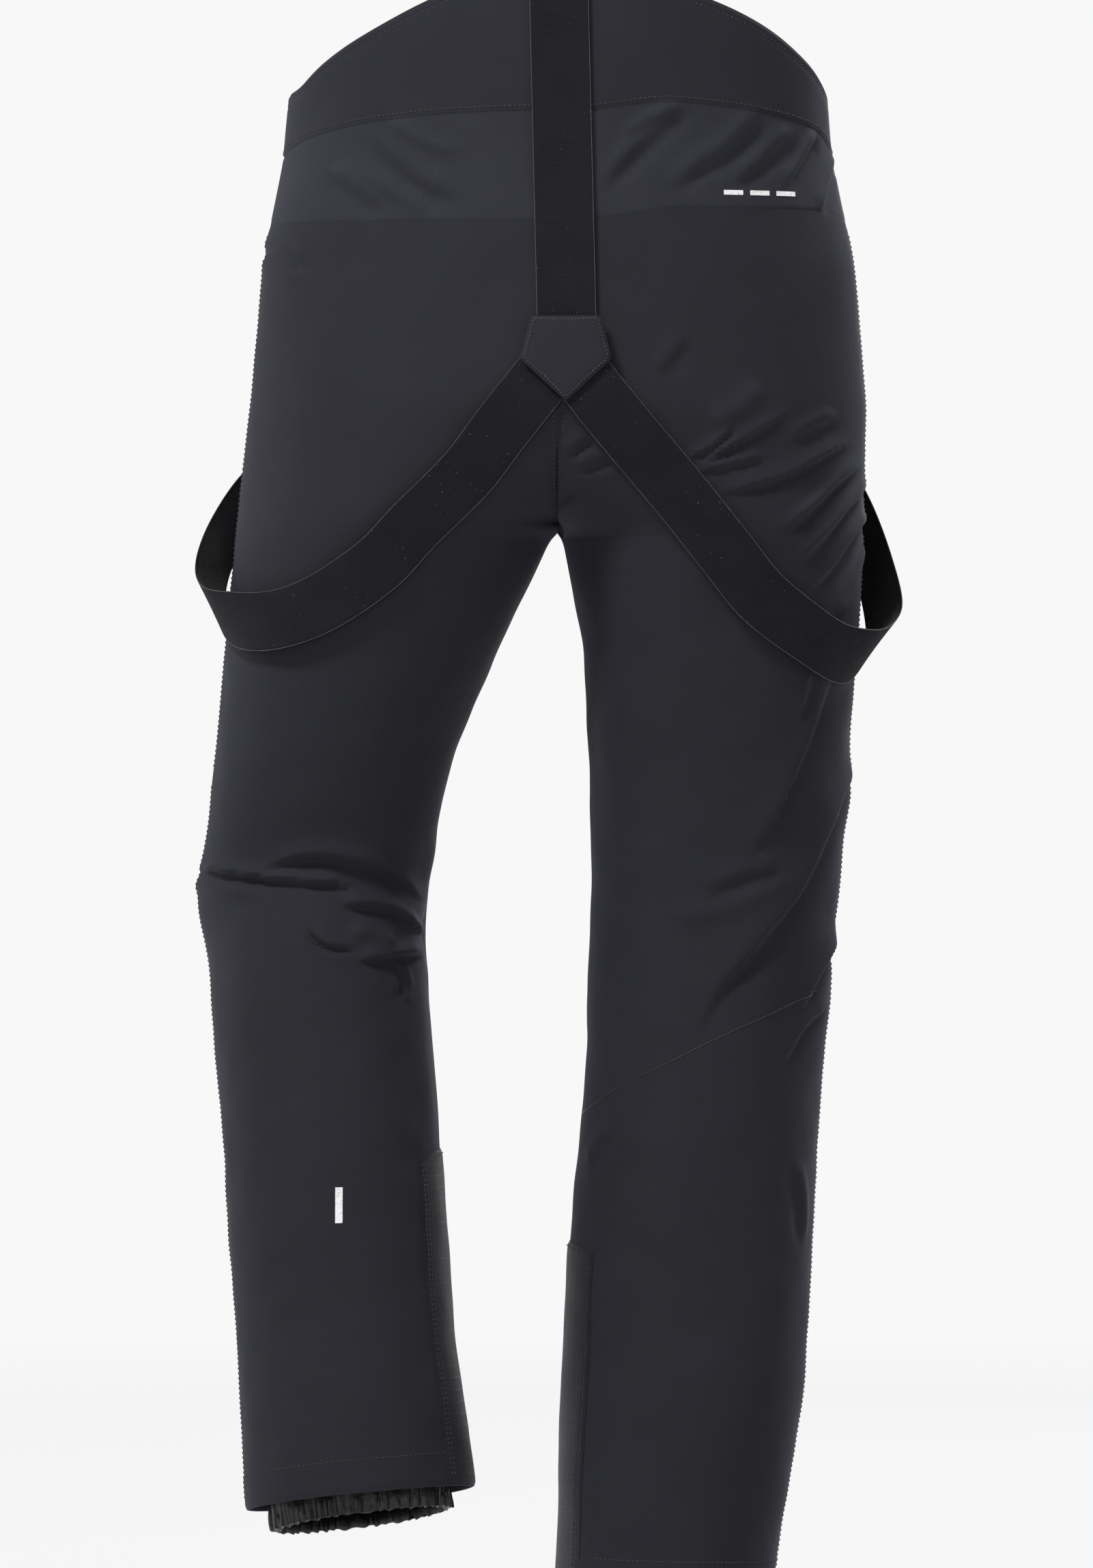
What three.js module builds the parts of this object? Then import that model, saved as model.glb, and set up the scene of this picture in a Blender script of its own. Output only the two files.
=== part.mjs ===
import * as THREE from "three";

// A pair of men's ski pants with dropped braces, in millimetres.
// +X is the wearer's left, -Y is the front and +Z is up. The origin is in the waist opening,
// BAND.backTop below the raised back edge. The left leg stands with its knee bent a little.
//
// Each half of the garment is one "column": a list of stations from the waist to the hem. A station's
// section is a superellipse, and an angle on it runs from 0 at the outer side, through 90 at the back
// and -90 at the front, to 180 at the inner side. Every panel is a wall on a column.

// ---- Cloth and fit ----
const CLEARANCE = 0.3;
const SEAM_GAP = 0.6;
const WALL = 3;
const ROUNDNESS = 2.2;

// ---- Body of the garment ----
const TOP = { halfWidth: 177, back: 109, front: 107 };
const WAIST = { drop: 70, halfWidth: 186, back: 116, front: 112 };
const SEAT = { drop: 240, halfWidth: 210, back: 136, front: 118 };
const CROTCH = { drop: 321, back: 118, front: 112 };
const BAND = { backTop: 50, sideTop: -28, frontTop: -42, backSeam: -42, sideSeam: -70, frontSeam: -82 };
const BAND_SWEEP = 1.3;
const YOKE_SEAM = -115;

// ---- Legs: "along" runs from 0 at the crotch to 1 at the hem ----
const KNEE_ALONG = 0.354;
const LEFT_LEG = {
  side: 1,
  length: 659,
  hemSlant: 8,
  hemLift: 8,
  stations: [
    { along: 0, centre: 110, halfWidth: 109, back: CROTCH.back, front: CROTCH.front },
    { along: 0.12, centre: 133, halfWidth: 94, back: 104, front: 112 },
    { along: 0.226, centre: 151.5, halfWidth: 81.5, back: 88, front: 112 },
    { along: KNEE_ALONG, centre: 166.5, halfWidth: 76.5, back: 58, front: 108 },
    { along: 0.484, centre: 162.5, halfWidth: 74.5, back: 76, front: 92 },
    { along: 0.63, centre: 155, halfWidth: 74, back: 95, front: 73 },
    { along: 0.833, centre: 145, halfWidth: 73, back: 119, front: 43 },
    { along: 1, centre: 134, halfWidth: 77, back: 139, front: 19 },
  ],
};
const RIGHT_LEG = {
  side: -1,
  length: 722,
  hemSlant: 2,
  hemLift: 0,
  stations: [
    { along: 0, centre: 104.5, halfWidth: 103.5, back: CROTCH.back, front: CROTCH.front },
    { along: 0.11, centre: 110.5, halfWidth: 93.5, back: 105, front: 107 },
    { along: 0.242, centre: 109.5, halfWidth: 87.5, back: 90, front: 98 },
    { along: KNEE_ALONG, centre: 106.5, halfWidth: 83.5, back: 80, front: 88 },
    { along: 0.522, centre: 98, halfWidth: 81, back: 84, front: 82 },
    { along: 0.663, centre: 91.5, halfWidth: 82.5, back: 87, front: 76 },
    { along: 0.802, centre: 86, halfWidth: 82, back: 91, front: 71 },
    { along: 1, centre: 72, halfWidth: 73.5, back: 94, front: 64 },
  ],
};

// ---- Cuffs ----
const KICK_PATCH = { height: 236, halfAngle: 38, thickness: 1.2, lift: 0.5 };
const GAITER = { height: 118, showBelowHem: 14, inset: 13, thickness: 1.5 };
const GAITER_ELASTIC = { height: 12, thickness: 1.6 };

// ---- Fly, pockets and closure ----
const ZIP = { width: 22, thickness: 1.6 };
const FLY = { top: -92, bottom: -235 };
const FLY_SHIELD = { width: 52, thickness: 1.5 };
const POCKET = { angle: -36, top: -92, bottom: -215 };
const POCKET_BAG = { fromAngle: -66, toAngle: -18, bottom: -290, thickness: 2, gap: 1.2 };
const SLIDER = { width: 9, length: 14, thickness: 3.6, endGap: 3 };
const PULL = { width: 7, length: 26, thickness: 1.4, lap: 4 };
const FLAP = { root: 28, reach: 50, top: -46, bottom: -78, thickness: 2.4 };
const SNAP = { z: -62, offsets: [-38, -14], studRadius: 5, studHeight: 2, capRadius: 7.5, capHeight: 1.6 };

// ---- Braces ----
const WEBBING = { width: 40, thickness: 2 };
const BACK_STRAP = { insideEnd: 8, insideGap: 1.2, outsideEnd: -204, slack: 0.055, topX: 0, bottomX: -6 };
const JUNCTION = {
  x: -5,
  top: -182,
  shoulder: -211,
  point: -240,
  topHalf: 23.5,
  shoulderHalf: 31,
  thickness: 2.2,
  slack: 0.0775,
};
const ANCHOR = { top: -48, bottom: -79, width: 26 };
const HOOK = { top: -60, bottom: -104, width: 46, thickness: 4, corner: 5 };
const ADJUSTER = { z: -136, length: 22, wall: 1.6, play: 0.7 };
const FRONT_STRAP = { angle: -60, top: -88, straightEnd: -205, slack: 0.09 };

// ---- Colours ----
const CLOTH = { color: 0x2e3033, roughness: 0.85, metalness: 0 };
const GUARD = { color: 0x363a42, roughness: 0.75, metalness: 0 };
const ELASTIC = { color: 0x232226, roughness: 0.95, metalness: 0 };
const NYLON = { color: 0x101012, roughness: 0.35, metalness: 0 };
const COIL = { color: 0x18181b, roughness: 0.6, metalness: 0 };
const METAL = { color: 0x4a4b50, roughness: 0.35, metalness: 0.9 };
const PLASTIC = { color: 0x1c1c20, roughness: 0.45, metalness: 0 };

const radians = THREE.MathUtils.degToRad;
const lerp = THREE.MathUtils.lerp;
const signedPower = (value, power) => Math.sign(value) * Math.abs(value) ** power;

// ---------------------------------------------------------------- columns

function trunkStation({ drop, halfWidth, back, front }, side) {
  return { z: -drop, outer: side * halfWidth, inner: -side * halfWidth, back, front };
}

function makeColumn(leg) {
  const { side, length } = leg;
  const legStations = leg.stations.map(({ along, centre, halfWidth, back, front }) => ({
    z: -CROTCH.drop - along * length,
    outer: side * (centre + halfWidth),
    inner: side * (centre - halfWidth),
    back,
    front,
  }));
  const trunk = [{ drop: -BAND.backTop, ...TOP }, WAIST, SEAT].map((station) => trunkStation(station, side));
  const stations = [...trunk, ...legStations];
  return {
    side,
    stations,
    knee: -CROTCH.drop - KNEE_ALONG * length,
    hem: -CROTCH.drop - length,
    hemSlant: leg.hemSlant,
    hemLift: leg.hemLift,
    legRows: legStations.map((station) => station.z),
  };
}

const LEFT = makeColumn(LEFT_LEG);
const RIGHT = makeColumn(RIGHT_LEG);

// Centre and half sizes of a column's section at height z; the last stretch runs on past the hem.
function section(column, z) {
  const { stations } = column;
  let index = 0;
  while (index < stations.length - 2 && z < stations[index + 1].z) index += 1;
  const upper = stations[index];
  const lower = stations[index + 1];
  const share = (upper.z - z) / (upper.z - lower.z);
  const mix = (key) => lerp(upper[key], lower[key], share);
  return {
    centreX: (mix("outer") + mix("inner")) / 2,
    halfX: (mix("outer") - mix("inner")) / 2,
    centreY: (mix("back") - mix("front")) / 2,
    halfY: (mix("back") + mix("front")) / 2,
  };
}

// The point at an angle and height, offset outwards from the shell's outer face.
function surfacePoint(column, z, angle, offset = 0) {
  const { centreX, halfX, centreY, halfY } = section(column, z);
  const power = 2 / ROUNDNESS;
  return new THREE.Vector3(
    centreX + (halfX + column.side * offset) * signedPower(Math.cos(angle), power),
    centreY + (halfY + offset) * signedPower(Math.sin(angle), power),
    z,
  );
}

// The angle, on the back, at which a section reaches x.
function angleAt(column, z, x) {
  const { centreX, halfX } = section(column, z);
  const reach = THREE.MathUtils.clamp((x - centreX) / halfX, -1, 1);
  return Math.acos(signedPower(reach, ROUNDNESS / 2));
}

// A frame on the surface: X runs along the growing angle, Y up the surface and Z outwards.
// The reach is half the height of the piece that lies there, so a tall plate bridges a hollow.
function surfaceFrame(column, z, angle, offset = 0, reach = 1) {
  const step = 0.04;
  const up = surfacePoint(column, z + reach, angle).sub(surfacePoint(column, z - reach, angle)).normalize();
  const along = surfacePoint(column, z, angle + step).sub(surfacePoint(column, z, angle - step));
  const out = along.clone().cross(up).multiplyScalar(column.side).normalize();
  const across = up.clone().cross(out).normalize();
  const frame = new THREE.Matrix4().makeBasis(across, up, out);
  return frame.setPosition(surfacePoint(column, z, angle).addScaledVector(out, offset));
}

// ---------------------------------------------------------------- closed solids

// A closed solid between an outer and an inner grid of points. Its triangles are turned to face out.
function solidFromGrids(outer, inner, wraps) {
  const rows = outer.length;
  const columns = outer[0].length;
  const positions = [...outer.flat(), ...inner.flat()].flatMap((point) => point.toArray());
  const front = (row, column) => row * columns + (column % columns);
  const behind = (row, column) => rows * columns + front(row, column);
  const triangles = [];
  const quad = (a, b, c, d) => triangles.push(a, b, c, a, c, d);
  const spans = wraps ? columns : columns - 1;
  for (let row = 0; row < rows - 1; row += 1) {
    for (let column = 0; column < spans; column += 1) {
      quad(front(row, column), front(row, column + 1), front(row + 1, column + 1), front(row + 1, column));
      quad(behind(row, column), behind(row + 1, column), behind(row + 1, column + 1), behind(row, column + 1));
    }
    if (!wraps) {
      quad(front(row, 0), front(row + 1, 0), behind(row + 1, 0), behind(row, 0));
      quad(front(row, spans), behind(row, spans), behind(row + 1, spans), front(row + 1, spans));
    }
  }
  for (let column = 0; column < spans; column += 1) {
    const last = rows - 1;
    quad(front(0, column), behind(0, column), behind(0, column + 1), front(0, column + 1));
    quad(front(last, column), front(last, column + 1), behind(last, column + 1), behind(last, column));
  }
  if (signedVolume(positions, triangles) < 0) triangles.reverse();
  const geometry = new THREE.BufferGeometry();
  geometry.setAttribute("position", new THREE.Float32BufferAttribute(positions, 3));
  geometry.setIndex(triangles);
  return geometry;
}

function signedVolume(positions, triangles) {
  const corner = (index) => new THREE.Vector3().fromArray(positions, 3 * triangles[index]);
  let sum = 0;
  for (let index = 0; index < triangles.length; index += 3) {
    sum += corner(index).dot(corner(index + 1).cross(corner(index + 2)));
  }
  return sum / 6;
}

// A wall on a column. Each row gives its height at an angle, and span gives a height's two end angles.
function wall(column, { rows, span, steps, offset = 0, thickness = WALL, insetAt = () => 0, wraps = false }) {
  const grid = (depth) =>
    rows.map((row) => {
      const [start, end] = span(row(Math.PI / 2));
      const count = wraps ? steps : steps + 1;
      return Array.from({ length: count }, (_, index) => {
        const angle = lerp(start, end, index / steps);
        const z = row(angle);
        return surfacePoint(column, z, angle, offset - depth - insetAt(z));
      });
    });
  return solidFromGrids(grid(-thickness / 2), grid(thickness / 2), wraps);
}

const shellWall = (column, options) => wall(column, { offset: -WALL / 2, ...options });
const level = (z) => () => z;

// A patch on a column's outer face, or with a negative lift on its inner face.
function patch(column, { from, to, rows, steps = 6, lift = CLEARANCE, thickness }) {
  const offset = lift >= 0 ? lift + thickness / 2 : lift - WALL - thickness / 2;
  return wall(column, { rows: rows.map(level), span: () => [from, to], steps, offset, thickness });
}

function part(name, geometry, finish) {
  const mesh = new THREE.Mesh(geometry, new THREE.MeshStandardMaterial(finish));
  mesh.name = name;
  return mesh;
}

function place(mesh, frame) {
  frame.decompose(mesh.position, mesh.quaternion, mesh.scale);
  return mesh;
}

// ---------------------------------------------------------------- waistband, yoke and panels

const bandTop = (angle) => {
  const rise = Math.sin(angle);
  return rise > 0
    ? lerp(BAND.sideTop, BAND.backTop, rise ** BAND_SWEEP)
    : lerp(BAND.sideTop, BAND.frontTop, -rise);
};
const bandSeam = (angle) => {
  const rise = Math.sin(angle);
  return lerp(BAND.sideSeam, rise > 0 ? BAND.backSeam : BAND.frontSeam, Math.abs(rise));
};
const below = (line, gap) => (angle) => line(angle) - gap;
const between = (upper, lower, share) => (angle) => lerp(upper(angle), lower(angle), share);

const sideGap = SEAM_GAP / 2 / SEAT.back;
const fullBack = () => [sideGap, Math.PI - sideGap];

// The end angle of a half panel: the centre plane while the halves are joined, then the inner seam.
function centreAngle(column, z) {
  return Math.min(angleAt(column, z, (column.side * SEAM_GAP) / 2), Math.PI - sideGap);
}
const backHalf = (column) => (z) => [sideGap, centreAngle(column, z)];
const frontHalf = (column) => (z) => [-sideGap, -centreAngle(column, z)];

function waistband() {
  const backRows = [bandTop, between(bandTop, bandSeam, 0.5), bandSeam];
  const back = shellWall(LEFT, { rows: backRows, span: fullBack, steps: 20 });
  const frontOf = (column) => shellWall(column, { rows: [bandTop, bandSeam], span: frontHalf(column), steps: 12 });
  return [
    part("waistband_back", back, CLOTH),
    part("waistband_front_left", frontOf(LEFT), CLOTH),
    part("waistband_front_right", frontOf(RIGHT), CLOTH),
  ];
}

function yoke() {
  const rows = [below(bandSeam, SEAM_GAP), level(YOKE_SEAM)];
  return part("back_yoke", shellWall(LEFT, { rows, span: fullBack, steps: 20 }), CLOTH);
}

// Heights in the seat, closer together where the centre seam turns under the crotch.
function seatRows() {
  const crotchArch = [1, 0.63, 0.38, 0.22, 0.11, 0.04];
  const drop = CROTCH.drop - SEAT.drop;
  const arch = crotchArch.map((share) => -CROTCH.drop + share * drop);
  return [...arch, -CROTCH.drop + SEAM_GAP / 2].map(level);
}

function seatPanels(name, column) {
  const backRows = [level(YOKE_SEAM - SEAM_GAP), ...seatRows()];
  const frontRows = [below(bandSeam, SEAM_GAP), ...seatRows()];
  const back = shellWall(column, { rows: backRows, span: backHalf(column), steps: 12 });
  const front = shellWall(column, { rows: frontRows, span: frontHalf(column), steps: 12 });
  return [part(`seat_back_${name}`, back, CLOTH), part(`seat_front_${name}`, front, CLOTH)];
}

const hemLine = (column, extra = 0) => (angle) =>
  column.hem - column.hemSlant * Math.cos(angle) + column.hemLift * Math.sin(angle) - extra;

function legPanels(name, column) {
  const gap = SEAM_GAP / 2;
  const inside = (top, bottom) => column.legRows.filter((z) => z < top - 1 && z > bottom + 1).map(level);
  const thigh = [level(-CROTCH.drop - gap), ...inside(-CROTCH.drop, column.knee), level(column.knee + gap)];
  const shin = [level(column.knee - gap), ...inside(column.knee, column.hem), hemLine(column)];
  const back = () => [sideGap, Math.PI - sideGap];
  const front = () => [-sideGap, sideGap - Math.PI];
  const panel = (label, rows, span) =>
    part(`${label}_${name}`, shellWall(column, { rows, span, steps: 12 }), CLOTH);
  return {
    thigh: [panel("thigh_back", thigh, back), panel("thigh_front", thigh, front)],
    shin: [panel("shin_back", shin, back), panel("shin_front", shin, front)],
  };
}

// ---------------------------------------------------------------- cuffs

function kickPatch(name, column) {
  const { height, halfAngle, thickness, lift } = KICK_PATCH;
  const top = column.hem + height;
  const middle = column.legRows.filter((z) => z < top - 1 && z > column.hem + 1);
  const rows = [level(top), ...middle.map(level), hemLine(column)];
  const span = () => [Math.PI - radians(halfAngle), Math.PI + radians(halfAngle)];
  const offset = lift + thickness / 2;
  return part(`kick_patch_${name}`, wall(column, { rows, span, steps: 8, offset, thickness }), GUARD);
}

const fullTurn = () => [0, 2 * Math.PI];

function gaiter(name, column) {
  const { height, showBelowHem, inset, thickness } = GAITER;
  const top = column.hem + height;
  const bottom = column.hem - showBelowHem;
  const insetAt = (z) => inset * THREE.MathUtils.clamp((top - z) / (height + showBelowHem), 0, 1);
  const offset = -WALL - CLEARANCE - thickness / 2;
  const lowEdge = hemLine(column, showBelowHem);
  const ring = { span: fullTurn, steps: 24, insetAt, wraps: true };
  const cuffRows = [level(top), between(level(top), lowEdge, 0.5), lowEdge];
  const cuff = wall(column, { ...ring, rows: cuffRows, offset, thickness });
  const elasticTop = showBelowHem - GAITER_ELASTIC.height;
  const elasticRows = [hemLine(column, elasticTop), hemLine(column, showBelowHem - 1)];
  const elasticOffset = offset - thickness / 2 - CLEARANCE - GAITER_ELASTIC.thickness / 2;
  const elastic = wall(column, {
    ...ring,
    rows: elasticRows,
    offset: elasticOffset,
    thickness: GAITER_ELASTIC.thickness,
  });
  return [part(`gaiter_${name}`, cuff, NYLON), part(`gaiter_elastic_${name}`, elastic, ELASTIC)];
}

// ---------------------------------------------------------------- zips and closure

function slab(width, height, thickness, corner) {
  const shape = new THREE.Shape();
  const right = width / 2;
  const top = height / 2;
  shape.moveTo(corner - right, -top);
  shape.lineTo(right - corner, -top);
  shape.absarc(right - corner, corner - top, corner, -Math.PI / 2, 0);
  shape.absarc(right - corner, top - corner, corner, 0, Math.PI / 2);
  shape.absarc(corner - right, top - corner, corner, Math.PI / 2, Math.PI);
  shape.absarc(corner - right, corner - top, corner, Math.PI, 1.5 * Math.PI);
  return new THREE.ExtrudeGeometry(shape, { depth: thickness, bevelEnabled: false, curveSegments: 4 });
}

// Half the angle that a width spans on a column at a height and angle.
function halfAngleOf(width, column, z, angle) {
  const step = 0.02;
  const chord = surfacePoint(column, z, angle + step).distanceTo(surfacePoint(column, z, angle - step));
  return (width * step) / chord;
}

// A zip tape on a line of constant angle, with its slider at the top and the pull hanging from it.
function zip(name, column, angle, top, bottom) {
  const half = halfAngleOf(ZIP.width, column, top, angle);
  const tape = patch(column, {
    from: angle - half,
    to: angle + half,
    rows: [top, bottom],
    steps: 4,
    thickness: ZIP.thickness,
  });
  const sliderLift = 2 * CLEARANCE + ZIP.thickness;
  const sliderZ = top - SLIDER.endGap - SLIDER.length / 2;
  const slider = part(`${name}_slider`, slab(SLIDER.width, SLIDER.length, SLIDER.thickness, 2), METAL);
  place(slider, surfaceFrame(column, sliderZ, angle, sliderLift));
  const pullZ = sliderZ + PULL.lap - PULL.length / 2;
  const pull = part(`${name}_pull`, slab(PULL.width, PULL.length, PULL.thickness, 2), PLASTIC);
  place(pull, surfaceFrame(column, pullZ, angle, sliderLift + SLIDER.thickness + CLEARANCE));
  return [part(`${name}_tape`, tape, COIL), slider, pull];
}

function flyShield() {
  const half = halfAngleOf(FLY_SHIELD.width, LEFT, FLY.top, -Math.PI / 2);
  return part(
    "fly_shield",
    patch(LEFT, {
      from: -Math.PI / 2 - half,
      to: -Math.PI / 2 + half,
      rows: [FLY.top, FLY.bottom],
      lift: -CLEARANCE,
      thickness: FLY_SHIELD.thickness,
    }),
    CLOTH,
  );
}

function pocketBag(name, column) {
  const { fromAngle, toAngle, bottom, thickness, gap } = POCKET_BAG;
  const rows = [POCKET.top, -SEAT.drop, bottom];
  const angles = { from: radians(fromAngle), to: radians(toAngle) };
  return part(`pocket_bag_${name}`, patch(column, { ...angles, rows, lift: -gap, thickness }), NYLON);
}

// The closing flap lies on the studs, rooted on the left half of the band and reaching over the right.
function closure() {
  const flapLift = 2 * CLEARANCE + SNAP.studHeight;
  const bandAngle = (x, z) => -angleAt(LEFT, z, x);
  const flap = patch(LEFT, {
    from: bandAngle(-FLAP.reach, SNAP.z),
    to: bandAngle(FLAP.root, SNAP.z),
    rows: [FLAP.top, FLAP.bottom],
    steps: 8,
    lift: flapLift,
    thickness: FLAP.thickness,
  });
  const parts = [part("closure_flap", flap, CLOTH)];
  SNAP.offsets.forEach((x, index) => {
    const angle = bandAngle(x, SNAP.z);
    const round = (radius, height) =>
      new THREE.CylinderGeometry(radius, radius, height, 20).rotateX(Math.PI / 2).translate(0, 0, height / 2);
    const stud = part(`snap_stud_${index + 1}`, round(SNAP.studRadius, SNAP.studHeight), METAL);
    const cap = part(`snap_cap_${index + 1}`, round(SNAP.capRadius, SNAP.capHeight), METAL);
    place(stud, surfaceFrame(LEFT, SNAP.z, angle, CLEARANCE));
    place(cap, surfaceFrame(LEFT, SNAP.z, angle, flapLift + FLAP.thickness + CLEARANCE));
    parts.push(stud, cap);
  });
  return parts;
}

// ---------------------------------------------------------------- braces

// A flat strap through stations that each hold a centre point, a width direction and an outward normal.
function ribbon(stations) {
  const face = (depth) =>
    stations.map(({ centre, across, out }) =>
      [-1, 1].map((edge) =>
        centre.clone().addScaledVector(across, (edge * WEBBING.width) / 2).addScaledVector(out, depth),
      ),
    );
  return solidFromGrids(face(WEBBING.thickness / 2), face(-WEBBING.thickness / 2), false);
}

// How far a strap's middle stands off the cloth. The slack is a share of the width, because a wider
// flat strap stands further off a round body.
const strapStandoff = (slack) => slack * WEBBING.width + WEBBING.thickness / 2;

// Stations of a strap laid on a column. The flare, in degrees, tips the upper edge away from the body.
// The first one's spread is its distance from the junction's middle, as a share of the width.
function strapOnColumn(column, route) {
  const routeAngle = ({ z, angle, spread }) =>
    spread ? angleAt(column, z, JUNCTION.x + column.side * spread * WEBBING.width) : radians(angle);
  const stopFrame = (stop) => surfaceFrame(column, stop.z, routeAngle(stop), strapStandoff(stop.slack));
  const centres = route.map(stopFrame);
  const points = centres.map((frame) => new THREE.Vector3().setFromMatrixPosition(frame));
  return route.map(({ flare = 0 }, index) => {
    const before = points[Math.max(index - 1, 0)];
    const after = points[Math.min(index + 1, points.length - 1)];
    const tangent = after.clone().sub(before).normalize();
    const normal = new THREE.Vector3().setFromMatrixColumn(centres[index], 2);
    const across = normal.clone().cross(tangent).normalize();
    const out = tangent.clone().cross(across).normalize();
    const tilt = new THREE.Quaternion().setFromAxisAngle(tangent, radians(-column.side * flare));
    return { centre: points[index], across: across.applyQuaternion(tilt), out: out.applyQuaternion(tilt) };
  });
}

// The back strap is sewn inside the band, turns over its top edge and hangs down to the patch.
function backStrap() {
  const across = new THREE.Vector3(1, 0, 0);
  const back = Math.PI / 2;
  const { insideEnd, insideGap, outsideEnd, slack, topX, bottomX } = BACK_STRAP;
  const standoff = strapStandoff(slack);
  const inside = -WALL - insideGap - WEBBING.thickness / 2;
  const crownHeight = insideGap + WEBBING.thickness / 2;
  const crownHalf = (standoff - inside) / 2;
  const crownCentre = surfacePoint(LEFT, BAND.backTop, back, (standoff + inside) / 2);
  const turnSteps = 6;
  const sewnEnd = surfacePoint(LEFT, insideEnd, back, inside);
  const stations = [{ centre: sewnEnd, across, out: new THREE.Vector3(0, -1, 0) }];
  for (let step = 0; step <= turnSteps; step += 1) {
    const turn = (Math.PI * step) / turnSteps;
    const out = new THREE.Vector3(0, -Math.cos(turn), Math.sin(turn));
    const centre = crownCentre.clone().add(new THREE.Vector3(0, crownHalf * out.y, crownHeight * out.z));
    stations.push({ centre, across, out });
  }
  for (const z of [-WAIST.drop, outsideEnd]) {
    const centre = surfacePoint(LEFT, z, back, standoff);
    centre.x = lerp(topX, bottomX, (BAND.backTop - z) / (BAND.backTop - outsideEnd));
    stations.push({ centre, across, out: new THREE.Vector3(0, 1, 0) });
  }
  return part("brace_back_strap", ribbon(stations), ELASTIC);
}

function junctionPatch() {
  const { x, top, shoulder, point, topHalf, shoulderHalf, thickness, slack } = JUNCTION;
  const middle = (top + point) / 2;
  const outline = new THREE.Shape();
  outline.moveTo(-topHalf, top - middle);
  outline.lineTo(-shoulderHalf, shoulder - middle);
  outline.lineTo(0, point - middle);
  outline.lineTo(shoulderHalf, shoulder - middle);
  outline.lineTo(topHalf, top - middle);
  const plate = new THREE.ExtrudeGeometry(outline, { depth: thickness, bevelEnabled: false });
  const lift = strapStandoff(slack) + WEBBING.thickness / 2;
  const frame = surfaceFrame(LEFT, middle, angleAt(LEFT, middle, x), lift);
  return place(part("brace_junction_patch", plate, CLOTH), frame);
}

// From the junction round the back of the hip, past its side in a slack loop, and up the front.
const LEFT_ROUTE = [
  { z: -226, spread: 0.63, slack: 0.06 },
  { z: -240, angle: 86, slack: 0.075 },
  { z: -258, angle: 87.6, slack: 0.08 },
  { z: -287, angle: 90.4, slack: 0.065 },
  { z: -321, angle: 94, slack: 0.09 },
  { z: -347, angle: 88.5, slack: 0.125 },
  { z: -372, angle: 74, slack: 0.125 },
  { z: -384, angle: 58, slack: 0.15 },
  { z: -386, angle: 40, slack: 0.2, flare: 12 },
  { z: -380, angle: 20, slack: 0.29, flare: 30 },
  { z: -364, angle: 4, slack: 0.325, flare: 34 },
  { z: -338, angle: -12, slack: 0.325, flare: 22 },
  { z: -306, angle: -27, slack: 0.25, flare: 10 },
];
const RIGHT_ROUTE = [
  { z: -226, spread: 0.54, slack: 0.06 },
  { z: -240, angle: 83.4, slack: 0.075 },
  { z: -263, angle: 84.8, slack: 0.075 },
  { z: -302, angle: 89, slack: 0.07 },
  { z: -338, angle: 87.4, slack: 0.115 },
  { z: -370, angle: 75, slack: 0.125 },
  { z: -398, angle: 52, slack: 0.15 },
  { z: -408, angle: 34, slack: 0.175, flare: 12 },
  { z: -404, angle: 16, slack: 0.275, flare: 30 },
  { z: -386, angle: 0, slack: 0.4, flare: 34 },
  { z: -354, angle: -15, slack: 0.325, flare: 22 },
  { z: -314, angle: -30, slack: 0.25, flare: 10 },
];
// Heights at which the front strap hangs straight, listed upwards.
const FRONT_RISE = [
  { z: -286, angle: -39, slack: 0.275 },
  { z: -260, angle: -50, slack: 0.25 },
  { z: FRONT_STRAP.straightEnd - 14, angle: FRONT_STRAP.angle, slack: FRONT_STRAP.slack },
  { z: FRONT_STRAP.straightEnd, angle: FRONT_STRAP.angle, slack: FRONT_STRAP.slack },
  { z: FRONT_STRAP.top, angle: FRONT_STRAP.angle, slack: FRONT_STRAP.slack },
];

function braceStrap(name, column, route) {
  return part(`brace_strap_${name}`, ribbon(strapOnColumn(column, [...route, ...FRONT_RISE])), ELASTIC);
}

// The hook plate lies over the sewn anchor above and the strap's end below.
function braceFront(name, column) {
  const angle = radians(FRONT_STRAP.angle);
  const hookLift = strapStandoff(FRONT_STRAP.slack) + WEBBING.thickness / 2 + 2 * CLEARANCE;
  const halfAnchor = halfAngleOf(ANCHOR.width, column, ANCHOR.top, angle);
  const anchor = patch(column, {
    from: angle - halfAnchor,
    to: angle + halfAnchor,
    rows: [ANCHOR.top, ANCHOR.bottom],
    steps: 4,
    thickness: hookLift - 3 * CLEARANCE,
  });
  const hookMiddle = (HOOK.top + HOOK.bottom) / 2;
  const hookHeight = HOOK.top - HOOK.bottom;
  const hook = part(`brace_hook_${name}`, slab(HOOK.width, hookHeight, HOOK.thickness, HOOK.corner), PLASTIC);
  place(hook, surfaceFrame(column, hookMiddle, angle, hookLift, hookHeight / 2));
  const windowWidth = WEBBING.width + 2 * ADJUSTER.play;
  const windowHeight = WEBBING.thickness + 2 * ADJUSTER.play;
  const sleeve = rectangle(windowWidth + 2 * ADJUSTER.wall, windowHeight + 2 * ADJUSTER.wall, THREE.Shape);
  sleeve.holes.push(rectangle(windowWidth, windowHeight, THREE.Path));
  const ring = new THREE.ExtrudeGeometry(sleeve, { depth: ADJUSTER.length, bevelEnabled: false });
  ring.rotateX(Math.PI / 2).translate(0, ADJUSTER.length / 2, 0);
  const adjuster = part(`brace_adjuster_${name}`, ring, PLASTIC);
  place(adjuster, surfaceFrame(column, ADJUSTER.z, angle, strapStandoff(FRONT_STRAP.slack)));
  return [part(`brace_anchor_${name}`, anchor, ELASTIC), hook, adjuster];
}

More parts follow.
